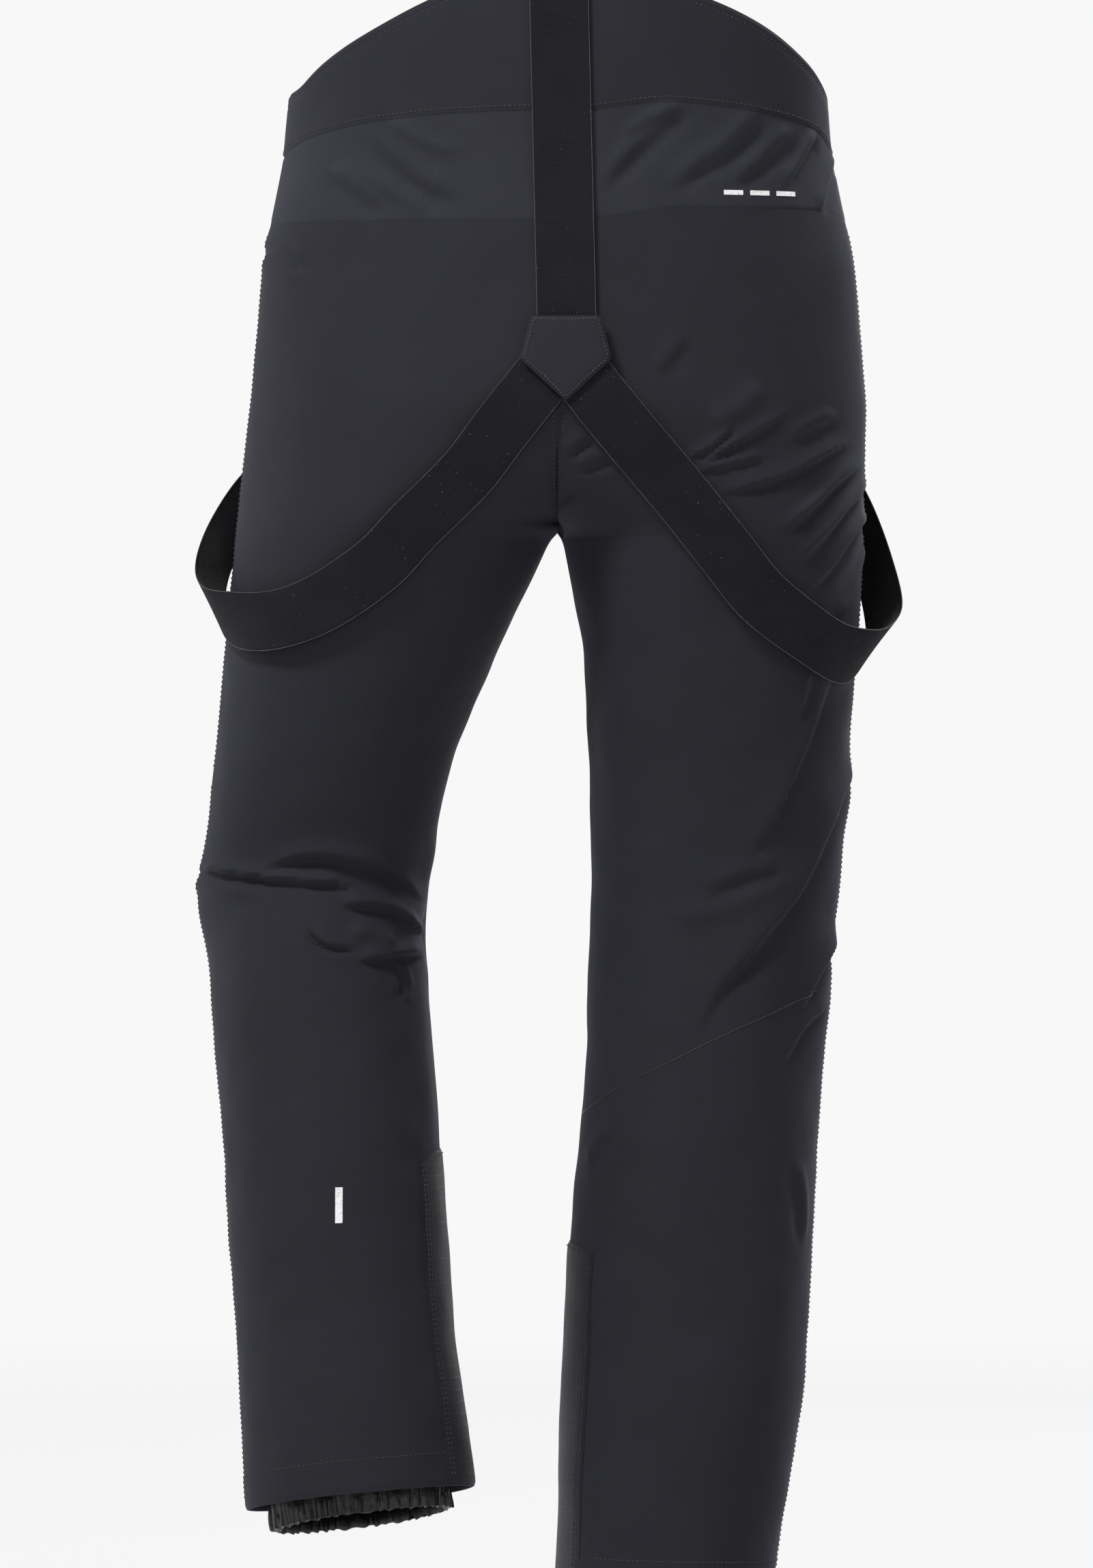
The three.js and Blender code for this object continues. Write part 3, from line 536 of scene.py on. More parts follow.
class Panel:
    """One panel of cloth on a column, between two lines and two edges."""

    OVERLAP = 0.25
    DRAW_IN = 26
    EXTRA_ROW = 1.5

    def __init__(self, column, top, bottom, start, end, folds, lift=0.0, thickness=CLOTH,
                 sewn=("top", "bottom", "start", "end"), spacing=SPACING, extra=None, centre=None):
        self.column, self.folds, self.centre, self.extra = column, folds, centre, extra
        self.top, self.bottom, self.start, self.end = top, bottom, start, end
        self.lift, self.thickness = lift, thickness
        middle = (start(MID_HEIGHT) + end(MID_HEIGHT)) / 2
        high, low = float(top(middle)), float(bottom(middle))
        width = self.width_at((high + low) / 2)
        rows = shares(high - low, spacing, "top" in sewn, "bottom" in sewn)
        columns = shares(width, spacing, "start" in sewn, "end" in sewn)
        beyond = self.EXTRA_ROW / (high - low)
        rows = np.concatenate([[-beyond], rows, [1 + beyond]])
        self.grid(rows, columns, sewn)

    def width_at(self, z):
        angles = np.linspace(self.start(z), self.end(z), 40)
        line = self.column.at(np.full(40, z), angles)
        return np.linalg.norm(np.diff(line, axis=0), axis=1).sum()

    def place(self, z, angle, over=0.0):
        """Points on the folded surface of the panel."""
        base = self.column.at(z, angle)
        offset = self.lift + over + self.folds.offset(base)
        if self.extra is not None:
            offset = offset + self.extra(base, z, angle)
        return self.column.at(z, angle, offset)

    def joined(self, z):
        """Which column of the grid lies on the centre seam, and where that seam holds."""
        return (-1 if self.centre == "end" else 0), smoothstep(CROTCH - 8, CROTCH + 4, z)

    def meet_middle(self, surface, z):
        """Draws the centre seam on to the middle plane, down to the crotch."""
        if self.centre is None:
            return surface
        edge, joined = self.joined(z)
        away = surface[:, edge, 0:1]
        near = np.exp(-(((surface[..., 0] - away) / self.DRAW_IN) ** 2))
        surface = surface.copy()
        surface[..., 0] -= (away + self.column.side * self.OVERLAP) * near * joined
        return surface

    def closed_dip(self, normals, z):
        """Near the centre seam the cloth turns straight in, so that no gap opens."""
        if self.centre is None:
            return normals
        edge, joined = self.joined(z)
        places = np.arange(z.shape[1])
        near = np.where(np.abs(places - places[edge]) < 5, 1.0, 0.0)[None, :] * joined
        turned = normals.copy()
        turned[..., 0] *= 1 - near
        return turned

    def grid(self, rows, columns, sewn):
        turn = np.linspace(float(self.start(MID_HEIGHT)), float(self.end(MID_HEIGHT)), 5)[2]
        nominal = self.top(turn) + (self.bottom(turn) - self.top(turn)) * rows
        start, end = self.start(nominal)[:, None], self.end(nominal)[:, None]
        angle = start + (end - start) * columns[None, :]
        top, bottom = self.top(angle), self.bottom(angle)
        z = top + (bottom - top) * rows[:, None]
        surface = self.meet_middle(self.place(z, angle), z)
        normals, flip = grid_normals(surface, self.column.at(z, angle, -40.0))
        across = np.linalg.norm(np.diff(surface, axis=1), axis=2)
        from_start = np.concatenate([np.zeros((len(rows), 1)), np.cumsum(across, 1)], 1)
        from_end = from_start[:, -1:] - from_start
        distances = {"top": top - z, "bottom": z - bottom, "start": from_start, "end": from_end}
        dip = sum(sewn_dip(np.abs(distances[edge])) for edge in sewn) if sewn else 0.0
        dip = np.clip(dip, 0, 1.3)[..., None] * np.ones_like(normals)
        self.outer = (surface - dip * self.closed_dip(normals, z))[1:-1]
        self.inner = (surface - (self.thickness + 0.4 * dip) * normals)[1:-1]
        self.normals, self.flip = normals[1:-1], flip
        centre = from_start.shape[1] // 2
        self.weave = np.stack([from_start - from_start[:, centre : centre + 1], -z], -1)[1:-1]

    def sew(self, draft, material=0, lining=0):
        add_solid(draft, self.outer, self.inner, self.normals, self.flip, self.weave, material, lining)
        return self

    def line(self, z, angle, over=0.35):
        """A line on the panel, and the normals along it."""
        points = self.place(z, angle, over)
        raised = self.place(z, angle, over + 2.0)
        return points, unit(raised - points)

    def level_line(self, edge, distance, start=0.01, end=0.99, over=0.35):
        """A line at a distance below the top or above the bottom."""
        turn = (self.start(MID_HEIGHT) + self.end(MID_HEIGHT)) / 2
        z = float(self.top(turn) if edge == "top" else self.bottom(turn))
        share = np.linspace(start, end, 160)
        angle = self.start(z) + (self.end(z) - self.start(z)) * share
        height = self.top(angle) - distance if edge == "top" else self.bottom(angle) + distance
        return self.line(height, angle, over)

    def side_line(self, edge, distance, start=0.01, end=0.99, over=0.35):
        """A line at a distance inside the start or end edge."""
        at = self.start if edge == "start" else self.end
        inward = 1 if edge == "start" else -1
        guess = at(MID_HEIGHT)
        z = np.linspace(float(self.top(guess)), float(self.bottom(guess)), 220)
        z = z[int(220 * start) : int(220 * end)]
        angle = at(z)
        step = 0.01
        chord = self.column.at(z, angle + step) - self.column.at(z, angle - step)
        per_radian = np.linalg.norm(chord, axis=1) / (2 * step)
        return self.line(z, angle + inward * distance / per_radian, over)


def add_stitches(draft, line, normals, material, pitch=3.4, length=2.5, radius=0.34):
    """A row of sewn thread: each stitch is a short spindle that dips in at its ends."""
    steps = np.linalg.norm(np.diff(line, axis=0), axis=1)
    along = np.concatenate([[0], np.cumsum(steps)])
    count = int(along[-1] / pitch)
    if count < 2:
        return
    middle = (np.arange(count) + 0.5) * pitch

    def read(at):
        return np.stack([np.interp(at, along, line[:, k]) for k in range(3)], -1)

    tail, head = read(middle - length / 2), read(middle + length / 2)
    out = unit(np.stack([np.interp(middle, along, normals[:, k]) for k in range(3)], -1))
    side = unit(np.cross(head - tail, out)) * radius
    centre = (head + tail) / 2
    ring = [centre + side, centre + out * radius, centre - side, centre - out * radius]
    points = np.stack([tail - out * radius, *ring, head - out * radius], 1)
    one = [(0, 2, 1), (0, 3, 2), (0, 4, 3), (0, 1, 4), (5, 1, 2), (5, 2, 3), (5, 3, 4), (5, 4, 1)]
    faces = (np.arange(count)[:, None, None] * 6 + np.array(one)[None]).reshape(-1, 3)
    draft.add(points, faces, material)


def add_tube(draft, line, radius, material, sides=6):
    """A thin round tube along a line: a thread, or the painted shadow line along the right knee seam."""
    line = np.asarray(line, float)
    run = unit(np.gradient(line, axis=0))
    side = unit(np.cross(run, np.where(np.abs(run[:, 2:]) < 0.9, [[0, 0, 1.0]], [[0, 1.0, 0]])))
    up = np.cross(side, run)
    turns = np.linspace(0, TAU, sides, endpoint=False)
    ring = [line + radius * (math.cos(t) * side + math.sin(t) * up) for t in turns]
    draft.add(np.stack(ring, 1), ring_faces(len(line), sides), material)


# ------------------------------------------------------------------ materials


class Sock:
    """A node socket that can stand in a sum: each operator adds its Math node."""

    def __init__(self, tree, socket):
        self.tree, self.socket = tree, socket

    def math(self, operation, *values):
        inputs = dict(enumerate((self, *values)))
        return self.tree.node("ShaderNodeMath", {"operation": operation}, inputs)

    def __add__(self, other):
        return self.math("ADD", other)

    __radd__ = __add__

    def __sub__(self, other):
        return self.math("SUBTRACT", other)

    def __rsub__(self, other):
        return (self * -1) + other

    def __mul__(self, other):
        return self.math("MULTIPLY", other)

    __rmul__ = __mul__

    def step(self, low, high):
        """0 below low, 1 above high, and straight between."""
        settings = {"clamp": True}
        return self.tree.node("ShaderNodeMapRange", settings, {0: self, 1: low, 2: high, 3: 0.0, 4: 1.0})


class Finish:
    """A material and the one way that its nodes are made."""

    def __init__(self, name):
        self.material = bpy.data.materials.new(name)
        self.material.use_nodes = True
        self.nodes = self.material.node_tree.nodes
        self.links = self.material.node_tree.links
        self.shader = self.nodes["Principled BSDF"]

    def node(self, kind, settings, values, output=0):
        made = self.nodes.new(kind)
        for key, value in settings.items():
            setattr(made, key, value)
        for key, value in values.items():
            if isinstance(value, Sock):
                self.links.new(value.socket, made.inputs[key])
            else:
                made.inputs[key].default_value = value
        return Sock(self, made.outputs[output])

    def set(self, **values):
        """Constants and links on the shader's own sockets."""
        for key, value in values.items():
            socket = self.shader.inputs[key.replace("_", " ")]
            if isinstance(value, Sock):
                self.links.new(value.socket, socket)
            else:
                socket.default_value = value
        return self

    def place(self):
        return self.node("ShaderNodeTexCoord", {}, {}, "Object")

    def weave(self):
        return self.node("ShaderNodeUVMap", {"uv_map": "weave"}, {}, 0)

    def noise(self, size, detail=3.0, roughness=0.55):
        """Noise with features of a size in metres."""
        values = {"Vector": self.place(), "Scale": 1 / size, "Detail": detail, "Roughness": roughness}
        return self.node("ShaderNodeTexNoise", {}, values, 0)

    def axis(self, vector, key):
        return self.node("ShaderNodeSeparateXYZ", {}, {0: vector}, key)

    def wave(self, value, size):
        """A sine ripple of a size in metres along a value, from -1 to 1."""
        return (value * (TAU / size)).math("SINE")

    def mix(self, share, first, second):
        settings = {"data_type": "RGBA", "clamp_factor": True}
        return self.node("ShaderNodeMix", settings, {0: share, 6: first, 7: second}, 2)

    def bump(self, height, strength, distance, under=None):
        values = {"Strength": strength, "Distance": distance, "Height": height}
        if under is not None:
            values["Normal"] = under
        return self.node("ShaderNodeBump", {}, values)


def shade(colour, factor):
    return (colour[0] * factor, colour[1] * factor, colour[2] * factor, 1.0)


def cloth_finish(name, colour, cell=0.0011, sheen=0.05, grain=0.00012):
    """A stretch softshell: a fine twill that shows as a soft grain, with a brushed sheen."""
    f = Finish(name)
    weave = f.weave()
    u, v = f.axis(weave, 0), f.axis(weave, 1)
    twill = f.wave(u + v * 0.5, cell) * 0.5 + f.wave(v, cell * 0.8) * 0.5
    fibre = f.noise(0.0016, 2.0, 0.6)
    cloudy = f.noise(0.085, 3.0, 0.5)
    worn = f.noise(0.019, 4.0, 0.6)
    tone = (cloudy * 0.55 + worn * 0.3 + fibre * 0.25 + twill * 0.05).step(0.28, 0.86)
    base = f.mix(tone, shade(colour, 0.82), shade(colour, 1.2))
    height = twill * 0.5 + fibre
    fine = f.bump(height, 0.55, grain)
    soft = f.bump(f.noise(0.03, 3.0, 0.55), 0.35, 0.0011, fine)
    f.set(Base_Color=base, Roughness=(worn * 0.16 + 0.7), Normal=soft)
    f.set(Sheen_Weight=sheen, Sheen_Roughness=0.45, Sheen_Tint=(0.75, 0.78, 1.0, 1.0))
    f.set(Specular_IOR_Level=0.14)
    return f.material


def guard_finish(name, colour):
    """A hard-wearing plain weave for the ankle guards, with ripstop lines."""
    f = Finish(name)
    weave = f.weave()
    u, v = f.axis(weave, 0), f.axis(weave, 1)
    cells = f.wave(u, 0.0016) * f.wave(v, 0.0016)
    lines = f.wave(u, 0.008).step(0.93, 1.0) + f.wave(v, 0.008).step(0.93, 1.0)
    scuff = f.noise(0.012, 4.0, 0.65).step(0.55, 0.8)
    base = f.mix(scuff, shade(colour, 0.92), shade(colour, 1.25))
    height = cells * 0.5 + lines
    f.set(Base_Color=base, Roughness=(scuff * 0.15 + 0.55), Normal=f.bump(height, 0.6, 0.00025))
    f.set(Sheen_Weight=0.06, Specular_IOR_Level=0.22)
    return f.material


def webbing_finish(name, colour):
    """Knitted elastic: ribs across, fine wales along, and specks of lint."""
    f = Finish(name)
    weave = f.weave()
    u, v = f.axis(weave, 0), f.axis(weave, 1)
    ribs = f.wave(v, 0.0017)
    wales = f.wave(u, 0.0011)
    lint = f.node("ShaderNodeTexVoronoi", {}, {"Vector": f.place(), "Scale": 230.0}, 0)
    speck = (0.1 - lint).step(0.0, 0.05) * f.noise(0.02, 2.0).step(0.5, 0.62)
    tone = f.noise(0.03, 3.0).step(0.3, 0.75) * 0.6 + (ribs * 0.25 + 0.25)
    base = f.mix(tone, shade(colour, 0.72), shade(colour, 1.25))
    base = f.mix(speck * 0.75, base, (0.2, 0.2, 0.21, 1.0))
    height = ribs * 0.6 + wales * 0.4
    rough = tone * 0.08 + 0.82
    f.set(Base_Color=base, Roughness=rough, Normal=f.bump(height, 0.6, 0.0002))
    f.set(Sheen_Weight=0.03, Sheen_Roughness=0.5, Specular_IOR_Level=0.1)
    return f.material


def nylon_finish(name, colour, roughness=0.3):
    """Thin coated nylon, crinkled and glossy."""
    f = Finish(name)
    crinkle = f.noise(0.011, 4.0, 0.6)
    cell = f.wave(f.axis(f.weave(), 0), 0.0007) * f.wave(f.axis(f.weave(), 1), 0.0007)
    base = f.mix(crinkle.step(0.35, 0.7), shade(colour, 0.8), shade(colour, 1.5))
    creased = f.bump(crinkle, 0.7, 0.0016)
    rough = crinkle * 0.2 + (roughness - 0.1)
    f.set(Base_Color=base, Roughness=rough, Normal=f.bump(cell, 0.25, 0.00008, creased))
    f.set(Coat_Weight=0.15, Coat_Roughness=0.3, Specular_IOR_Level=0.4)
    return f.material


def thread_and_shadow_finish(name, colour):
    """Sewing thread, a little lighter where it has been rubbed. Made near black, it also paints the shadow
    line along the right knee seam.
    """
    f = Finish(name)
    rub = f.noise(0.02, 3.0).step(0.45, 0.75)
    base = f.mix(rub, shade(colour, 0.8), shade(colour, 1.5))
    f.set(Base_Color=base, Roughness=(rub * 0.1 + 0.6), Sheen_Weight=0.2)
    return f.material


def reflective_finish(name):
    """A pale reflective print, a little cracked."""
    f = Finish(name)
    crack = f.noise(0.0025, 4.0, 0.7).step(0.3, 0.5)
    base = f.mix(crack, (0.5, 0.5, 0.5, 1.0), (0.78, 0.78, 0.79, 1.0))
    f.set(Base_Color=base, Roughness=(0.55 - crack * 0.15))
    return f.material


def plastic_finish(name, colour):
    """Moulded nylon with a fine spark-eroded grain and rubbed edges."""
    f = Finish(name)
    grain = f.noise(0.0009, 3.0, 0.6)
    rub = f.noise(0.006, 3.0, 0.6).step(0.55, 0.8)
    base = f.mix(rub, shade(colour, 0.9), shade(colour, 1.6))
    f.set(Base_Color=base, Roughness=(grain * 0.2 + 0.32), Normal=f.bump(grain, 0.4, 0.00006))
    return f.material


def metal_finish(name, colour):
    """Black-nickel plated zinc, with brighter rubbed patches."""
    f = Finish(name)
    rub = f.noise(0.004, 4.0, 0.6).step(0.5, 0.75)
    base = f.mix(rub, shade(colour, 0.85), shade(colour, 1.7))
    f.set(Base_Color=base, Roughness=(0.42 - rub * 0.16), Normal=f.bump(f.noise(0.001), 0.2, 0.00004))
    f.set(Metallic=0.95)
    return f.material


YOKE_TONE = 1.32


def finishes():
    """The materials, made once and then shared."""
    settings = bpy.context.scene.ski_pants_finish
    recipes = {
        "shell_cloth": (cloth_finish, settings.cloth),
        "yoke_cloth": (cloth_finish, [YOKE_TONE * value for value in settings.cloth]),
        "reflective": (reflective_finish,),
        "lining_cloth": (cloth_finish, (0.022, 0.022, 0.026), 0.0011, 0.15, 0.0003),
        "guard_cloth": (guard_finish, settings.guard),
        "elastic_webbing": (webbing_finish, settings.webbing),
        "gaiter_nylon": (nylon_finish, (0.004, 0.004, 0.005)),
        "lining_nylon": (nylon_finish, (0.02, 0.02, 0.023), 0.5),
        "seam_thread": (thread_and_shadow_finish, settings.thread),
        # seam_shadow: near black, a painted shadow of the groove along the right knee seam.
        "seam_shadow": (thread_and_shadow_finish, (0.003, 0.003, 0.004)),
        "edge_thread": (thread_and_shadow_finish, (0.045, 0.045, 0.049)),
        "zip_coil": (plastic_finish, (0.012, 0.012, 0.013)),
        "plastic": (plastic_finish, (0.011, 0.011, 0.013)),
        "metal": (metal_finish, (0.12, 0.12, 0.13)),
    }
    made = {}
    for key, (recipe, *values) in recipes.items():
        name = f"{key}_finish"
        made[key] = bpy.data.materials.get(name) or recipe(name, *values)
    return made


# ------------------------------------------------------------------ pieces of cloth


# The order of the finishes on a sewn piece, and the places of each in that order.
SEWN = ["shell_cloth", "seam_thread", "lining_cloth"]
FACE, THREAD, LINING, PRINT, SHADOW = range(5)


def straight(value):
    """A panel's edge at one angle, or its top or bottom at one height."""

    def line(places):
        return np.full(np.shape(places), float(value))

    return line


def lapped(line, column):
    """A seam's line on one side of the pants, lapped under the piece above."""

    def lap(angle):
        return line(angle if column.side > 0 else math.pi - angle) + SEAM_LAP

    return lap


def finish_piece(draft, name, nodes, materials, body=None, blend=None, keep_normals=True):
    """Turns a draft into a named piece that takes the place of its nodes."""
    paint = finishes()
    piece = draft.build(name, [paint[key] for key in materials], keep_normals)
    if blend is None:
        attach(piece, body)
    else:
        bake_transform(piece)
    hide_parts(*nodes)
    return piece


def hard_piece(draft, name, node, finish, body):
    """A moulded or turned piece of one material, named after its slot."""
    finish_piece(draft, name, [node], [finish], body, keep_normals=False)


# Plain reflective dashes stand on the yoke, and one short bar on the left calf.
YOKE_PRINT = {"places": (-118, -136, -154), "z": -97, "size": (13, 3.2)}
CALF_PRINT = {"place": (148, -780), "size": (5, 24)}


def folds():
    """The folds of the cloth, at the depth that the settings give."""
    return Folds(bpy.context.scene.ski_pants_cloth.fold_depth)


def make_waistband():
    cloth = folds()
    draft = Draft()
    gap = -SEAM_LAP / BAND_RADIUS

    def rounded(base, z, angle):
        edge = band_top(angle) - z
        return -1.3 * np.exp(-((edge / 1.6) ** 2)) - 0.35 * np.exp(-(((edge - 7) / 2.2) ** 2))

    band = Panel(LEFT, band_top, band_seam, straight(FRONT + gap), straight(FRONT + TAU - gap), cloth,
                 lift=0.3, thickness=2.8, sewn=("bottom",), extra=rounded)
    band.sew(draft, FACE, LINING)
    for edge, distance in (("top", 6.5), ("bottom", 3.2)):
        add_stitches(draft, *band.level_line(edge, distance, over=0.2), THREAD)
    nodes = ["waistband_back", "waistband_front_left", "waistband_front_right"]
    finish_piece(draft, "waistband", nodes, SEWN, "root")


def make_yoke():
    cloth = folds()
    draft = Draft()
    gap = -SEAM_LAP / HIP_RADIUS
    panel = Panel(LEFT, lapped(band_seam, LEFT), yoke_seam, straight(gap), straight(math.pi - gap), cloth)
    panel.sew(draft, FACE, LINING)
    for x in YOKE_PRINT["places"]:
        add_print(draft, panel, x, YOKE_PRINT["z"], *YOKE_PRINT["size"], PRINT)
    materials = ["yoke_cloth", "seam_thread", "lining_cloth", "reflective"]
    finish_piece(draft, "back_yoke_cloth", ["back_yoke"], materials, "root")


def add_print(draft, panel, x, z, width, height, material, lift=0.22):
    """A thin print of one plain bar on a panel."""
    column = panel.column
    rows, columns = np.meshgrid(np.linspace(0.5, -0.5, 9), np.linspace(-0.5, 0.5, 9), indexing="ij")
    level = z + rows * height
    angle = column.angle_at(level, x + columns * width)
    outer, inner = panel.place(level, angle, lift), panel.place(level, angle, PRINT_DIP)
    normals, flip = grid_normals(outer, inner)
    weave = np.stack([columns * width, rows * height], -1)
    add_solid(draft, outer, inner, normals, flip, weave, material, material)


def upper_leg(name, column):
    """The seat and thigh of one side, sewn from a back and a front panel."""
    cloth = folds()
    draft = Draft()
    gap = -SEAM_LAP / HIP_RADIUS
    level, sides = straight(LEG_SPLIT), ("top", "start", "end")

    def front_middle(z):
        return -column.middle(z)

    back = Panel(column, lapped(yoke_seam, column), level, straight(gap), column.middle, cloth,
                 sewn=sides, centre="end")
    front = Panel(column, lapped(band_seam, column), level, front_middle, straight(-gap), cloth,
                  sewn=sides, centre="start")
    for panel in (back, front):
        panel.sew(draft, FACE, LINING)
    add_stitches(draft, *back.side_line("end", STITCH_INSET, 0.02, 0.5), THREAD)
    add_stitches(draft, *front.side_line("start", STITCH_INSET, 0.02, 0.5), THREAD)
    add_stitches(draft, *back.side_line("start", STITCH_INSET, 0.02, 0.99), THREAD)
    nodes = [f"seat_back_{name}", f"seat_front_{name}", f"thigh_back_{name}", f"thigh_front_{name}"]
    blend = ("root", f"{name}_thigh", HIP_BEND)
    finish_piece(draft, f"seat_and_thigh_{name}", nodes, SEWN, blend=blend)


KNEE_SEAM = [(-16, -720), (-41, -701), (-79, -682), (-107, -668), (-147, -650), (-176, -636)]


def lower_leg(name, column):
    """The knee and shin of one side, down to the turned-up hem."""
    cloth = folds()
    draft = Draft()
    gap = -SEAM_LAP / SHIN_RADIUS

    def hem_step(base, z, angle):
        above = z - column.hem(angle)
        return 0.5 * smoothstep(HEM_FOLD + 1.5, HEM_FOLD - 1.5, above) - 0.9 * np.exp(-((above / 1.5) ** 2))

    level, sides = straight(LEG_SPLIT), ("start", "end")
    back = Panel(column, level, column.hem, straight(gap), straight(math.pi - gap), cloth,
                 sewn=sides, extra=hem_step)
    front = Panel(column, level, column.hem, straight(gap - math.pi), straight(-gap), cloth,
                  sewn=sides, extra=hem_step)
    for panel in (back, front):
        panel.sew(draft, FACE, LINING)
        add_stitches(draft, *panel.level_line("bottom", HEM_FOLD, 0.01, 0.99), THREAD)
    add_stitches(draft, *back.side_line("start", STITCH_INSET), THREAD)
    if column is RIGHT:
        steps = np.linspace(0, len(KNEE_SEAM) - 1, 90)
        x, z = (spline(np.array(KNEE_SEAM, float)[:, key], steps) for key in range(2))
        # A near-black tube along the right knee seam: a painted shadow of the seam's groove.
        add_tube(draft, back.line(z, column.angle_at(z, x), 0.05)[0], 0.42, SHADOW)
    else:
        add_print(draft, back, *CALF_PRINT["place"], *CALF_PRINT["size"], PRINT)
    nodes = [f"shin_back_{name}", f"shin_front_{name}"]
    blend = (f"{name}_thigh", f"{name}_shin", KNEE_BEND[name])
    materials = [*SEWN, "reflective", "seam_shadow"]
    finish_piece(draft, f"knee_and_shin_{name}", nodes, materials, blend=blend)


GUARD = {"half_angle": 38, "height": 236, "arch": 9}


def make_kick_patch(name, column):
    """The hard-wearing guard on the inner side of a cuff."""
    cloth = folds()
    draft = Draft()
    half = math.radians(GUARD["half_angle"])

    def top(angle):
        return column.hem_z + GUARD["height"] + GUARD["arch"] * (np.cos(2 * (angle - math.pi)) - 1)

    def bottom(angle):
        return column.hem(angle, 0.6)

    start, end = straight(math.pi - half), straight(math.pi + half)
    panel = Panel(column, top, bottom, start, end, cloth, lift=1.5, thickness=1.1)
    panel.sew(draft)
    add_stitches(draft, *panel.level_line("top", STITCH_INSET, 0.03, 0.97), THREAD)
    for inset in (STITCH_INSET, 6.5):
        for edge in ("start", "end"):
            add_stitches(draft, *panel.side_line(edge, inset), THREAD)
    nodes, materials = [f"kick_patch_{name}"], ["guard_cloth", "seam_thread"]
    finish_piece(draft, f"ankle_guard_{name}", nodes, materials, f"{name}_shin")


# How deep a cuff sits inside the leg, with its pleats as numbers of waves round and their depths.
GAITER = {"height": 118, "below_hem": 14, "inset": 13, "inside": -4.4, "radius": 75}
PLEATS = ((46, 1, 1.5), (21, -2, 1.1))
EDGE_PLEATS = ((46, 1, 1.2), (23, 1, 0.8))


def gathered(pleats, angle, phase):
    return sum(depth * np.sin(count * angle + shift * phase) for count, shift, depth in pleats)


def make_gaiter(name, column):
    """The snow cuff: thin nylon gathered on to an elastic edge."""
    steps = 300
    turn = np.linspace(0, TAU, steps + 1)
    rows = np.linspace(0, 1, 34)
    top = column.hem_z + GAITER["height"]
    angle = np.broadcast_to(turn, (len(rows), steps + 1))
    low = column.hem(angle, -GAITER["below_hem"])
    z = top + (low - top) * rows[:, None]
    inset = GAITER["inset"] * rows[:, None]
    spin = np.stack([np.cos(turn), np.sin(turn), 0 * turn], -1)
    phase = 5 * noise_at(spin * 60, 22, 3)
    gather = rows[:, None] ** 2
    pleats = gathered(PLEATS, angle, phase)
    waves = noise_at(column.at(z, angle).reshape(-1, 3), 18, 4).reshape(z.shape) * 1.6
    offset = GAITER["inside"] - inset + gather * pleats + (0.3 + rows[:, None]) * waves
    offset = np.minimum(offset, -2.6)
    surface = column.at(z, angle, offset)
    normals, flip = grid_normals(surface, column.at(z, angle, -60.0))
    across = np.broadcast_to(turn * GAITER["radius"], z.shape)
    draft = Draft()
    add_solid(draft, surface, surface - 0.7 * normals, normals, flip, np.stack([across, -z], -1))
    body = f"{name}_shin"
    finish_piece(draft, f"snow_cuff_{name}", [f"gaiter_{name}"], ["gaiter_nylon"], body)
    make_gaiter_edge(name, column, angle[:1], phase)


def make_gaiter_edge(name, column, angle, phase):
    """The gathered casing round the elastic at the bottom of a snow cuff."""
    turns = np.linspace(0, TAU, 11)
    pleats = gathered(EDGE_PLEATS, angle, phase)
    middle_z = column.hem(angle, -GAITER["below_hem"] + 5.0) + 0.5 * pleats
    offset = GAITER["inside"] - GAITER["inset"] - 1.4 + 0.9 * pleats
    z = middle_z + np.cos(turns)[:, None] * 5.4
    away = offset + np.sin(turns)[:, None] * 1.5
    surface = column.at(z, angle, away)
    centre = column.at(middle_z, angle, offset)
    normals, flip = grid_normals(surface, centre)
    draft = Draft()
    weave = np.stack(np.broadcast_arrays(angle * GAITER["radius"], 8 * turns[:, None]), -1)
    draft.add(surface, quads(*surface.shape[:2], flip=flip), 0, normals, weave)
    nodes, body = [f"gaiter_elastic_{name}"], f"{name}_shin"
    finish_piece(draft, f"snow_cuff_elastic_{name}", nodes, ["gaiter_nylon"], body)


# ------------------------------------------------------------------ zips and closure

ZIP = {"width": 22, "pitch": 1.7}
POCKET = {"angle": -36, "top": -92, "bottom": -215}
BAG = {"start": -66, "end": -18, "bottom": -290, "rise": 26, "turn": 0.733, "waves": 3.75}
FLY = {"top": -92, "bottom": -235, "shield": 52}
SLIDER = {"width": 9, "length": 14, "thickness": 3.6, "gap": 3}
PULL = {"width": 7, "length": 26, "lap": 4}


def surface_frame(column, z, angle, offset=0.0, reach=1.0):
    """A frame on the surface: X along the growing angle, Y up the cloth and Z outwards."""
    step = 0.04

    def point(height, turn):
        return Vector(column.at(height, turn))

    up = (point(z + reach, angle) - point(z - reach, angle)).normalized()
    along = point(z, angle + step) - point(z, angle - step)
    out = along.cross(up).normalized() * column.side
    across = up.cross(out).normalized()
    origin = point(z, angle) + out * offset
    frame = Matrix((across, up, out)).transposed().to_4x4()
    frame.translation = origin
    return frame


def half_angle(width, column, z, angle):
    step = 0.02
    chord = np.linalg.norm(column.at(z, angle + step) - column.at(z, angle - step))
    return width * step / chord


def add_block(draft, frame, outline, low, high, material, bevel=0.6):
    """A moulded block: an outline drawn out between two heights, with softened edges."""
    outline = np.array(outline, float)
    centre = outline.mean(0)
    towards = unit(centre - outline)
    levels = [(low, bevel), (low + bevel, 0), (high - bevel, 0), (high, bevel)]
    rings = [np.c_[outline + towards * inset, np.full(len(outline), z)] for z, inset in levels]
    turned = placed(frame, np.concatenate(rings))
    count = len(outline)
    draft.add(turned, ring_faces(len(rings), count), material)
    for row, order in ((0, -1), (3, 1)):
        ring = turned[row * count : (row + 1) * count]
        fan = [(k, (k + 1) % count, count)[::order] for k in range(count)]
        draft.add(np.vstack([ring, ring.mean(0)]), fan, material)


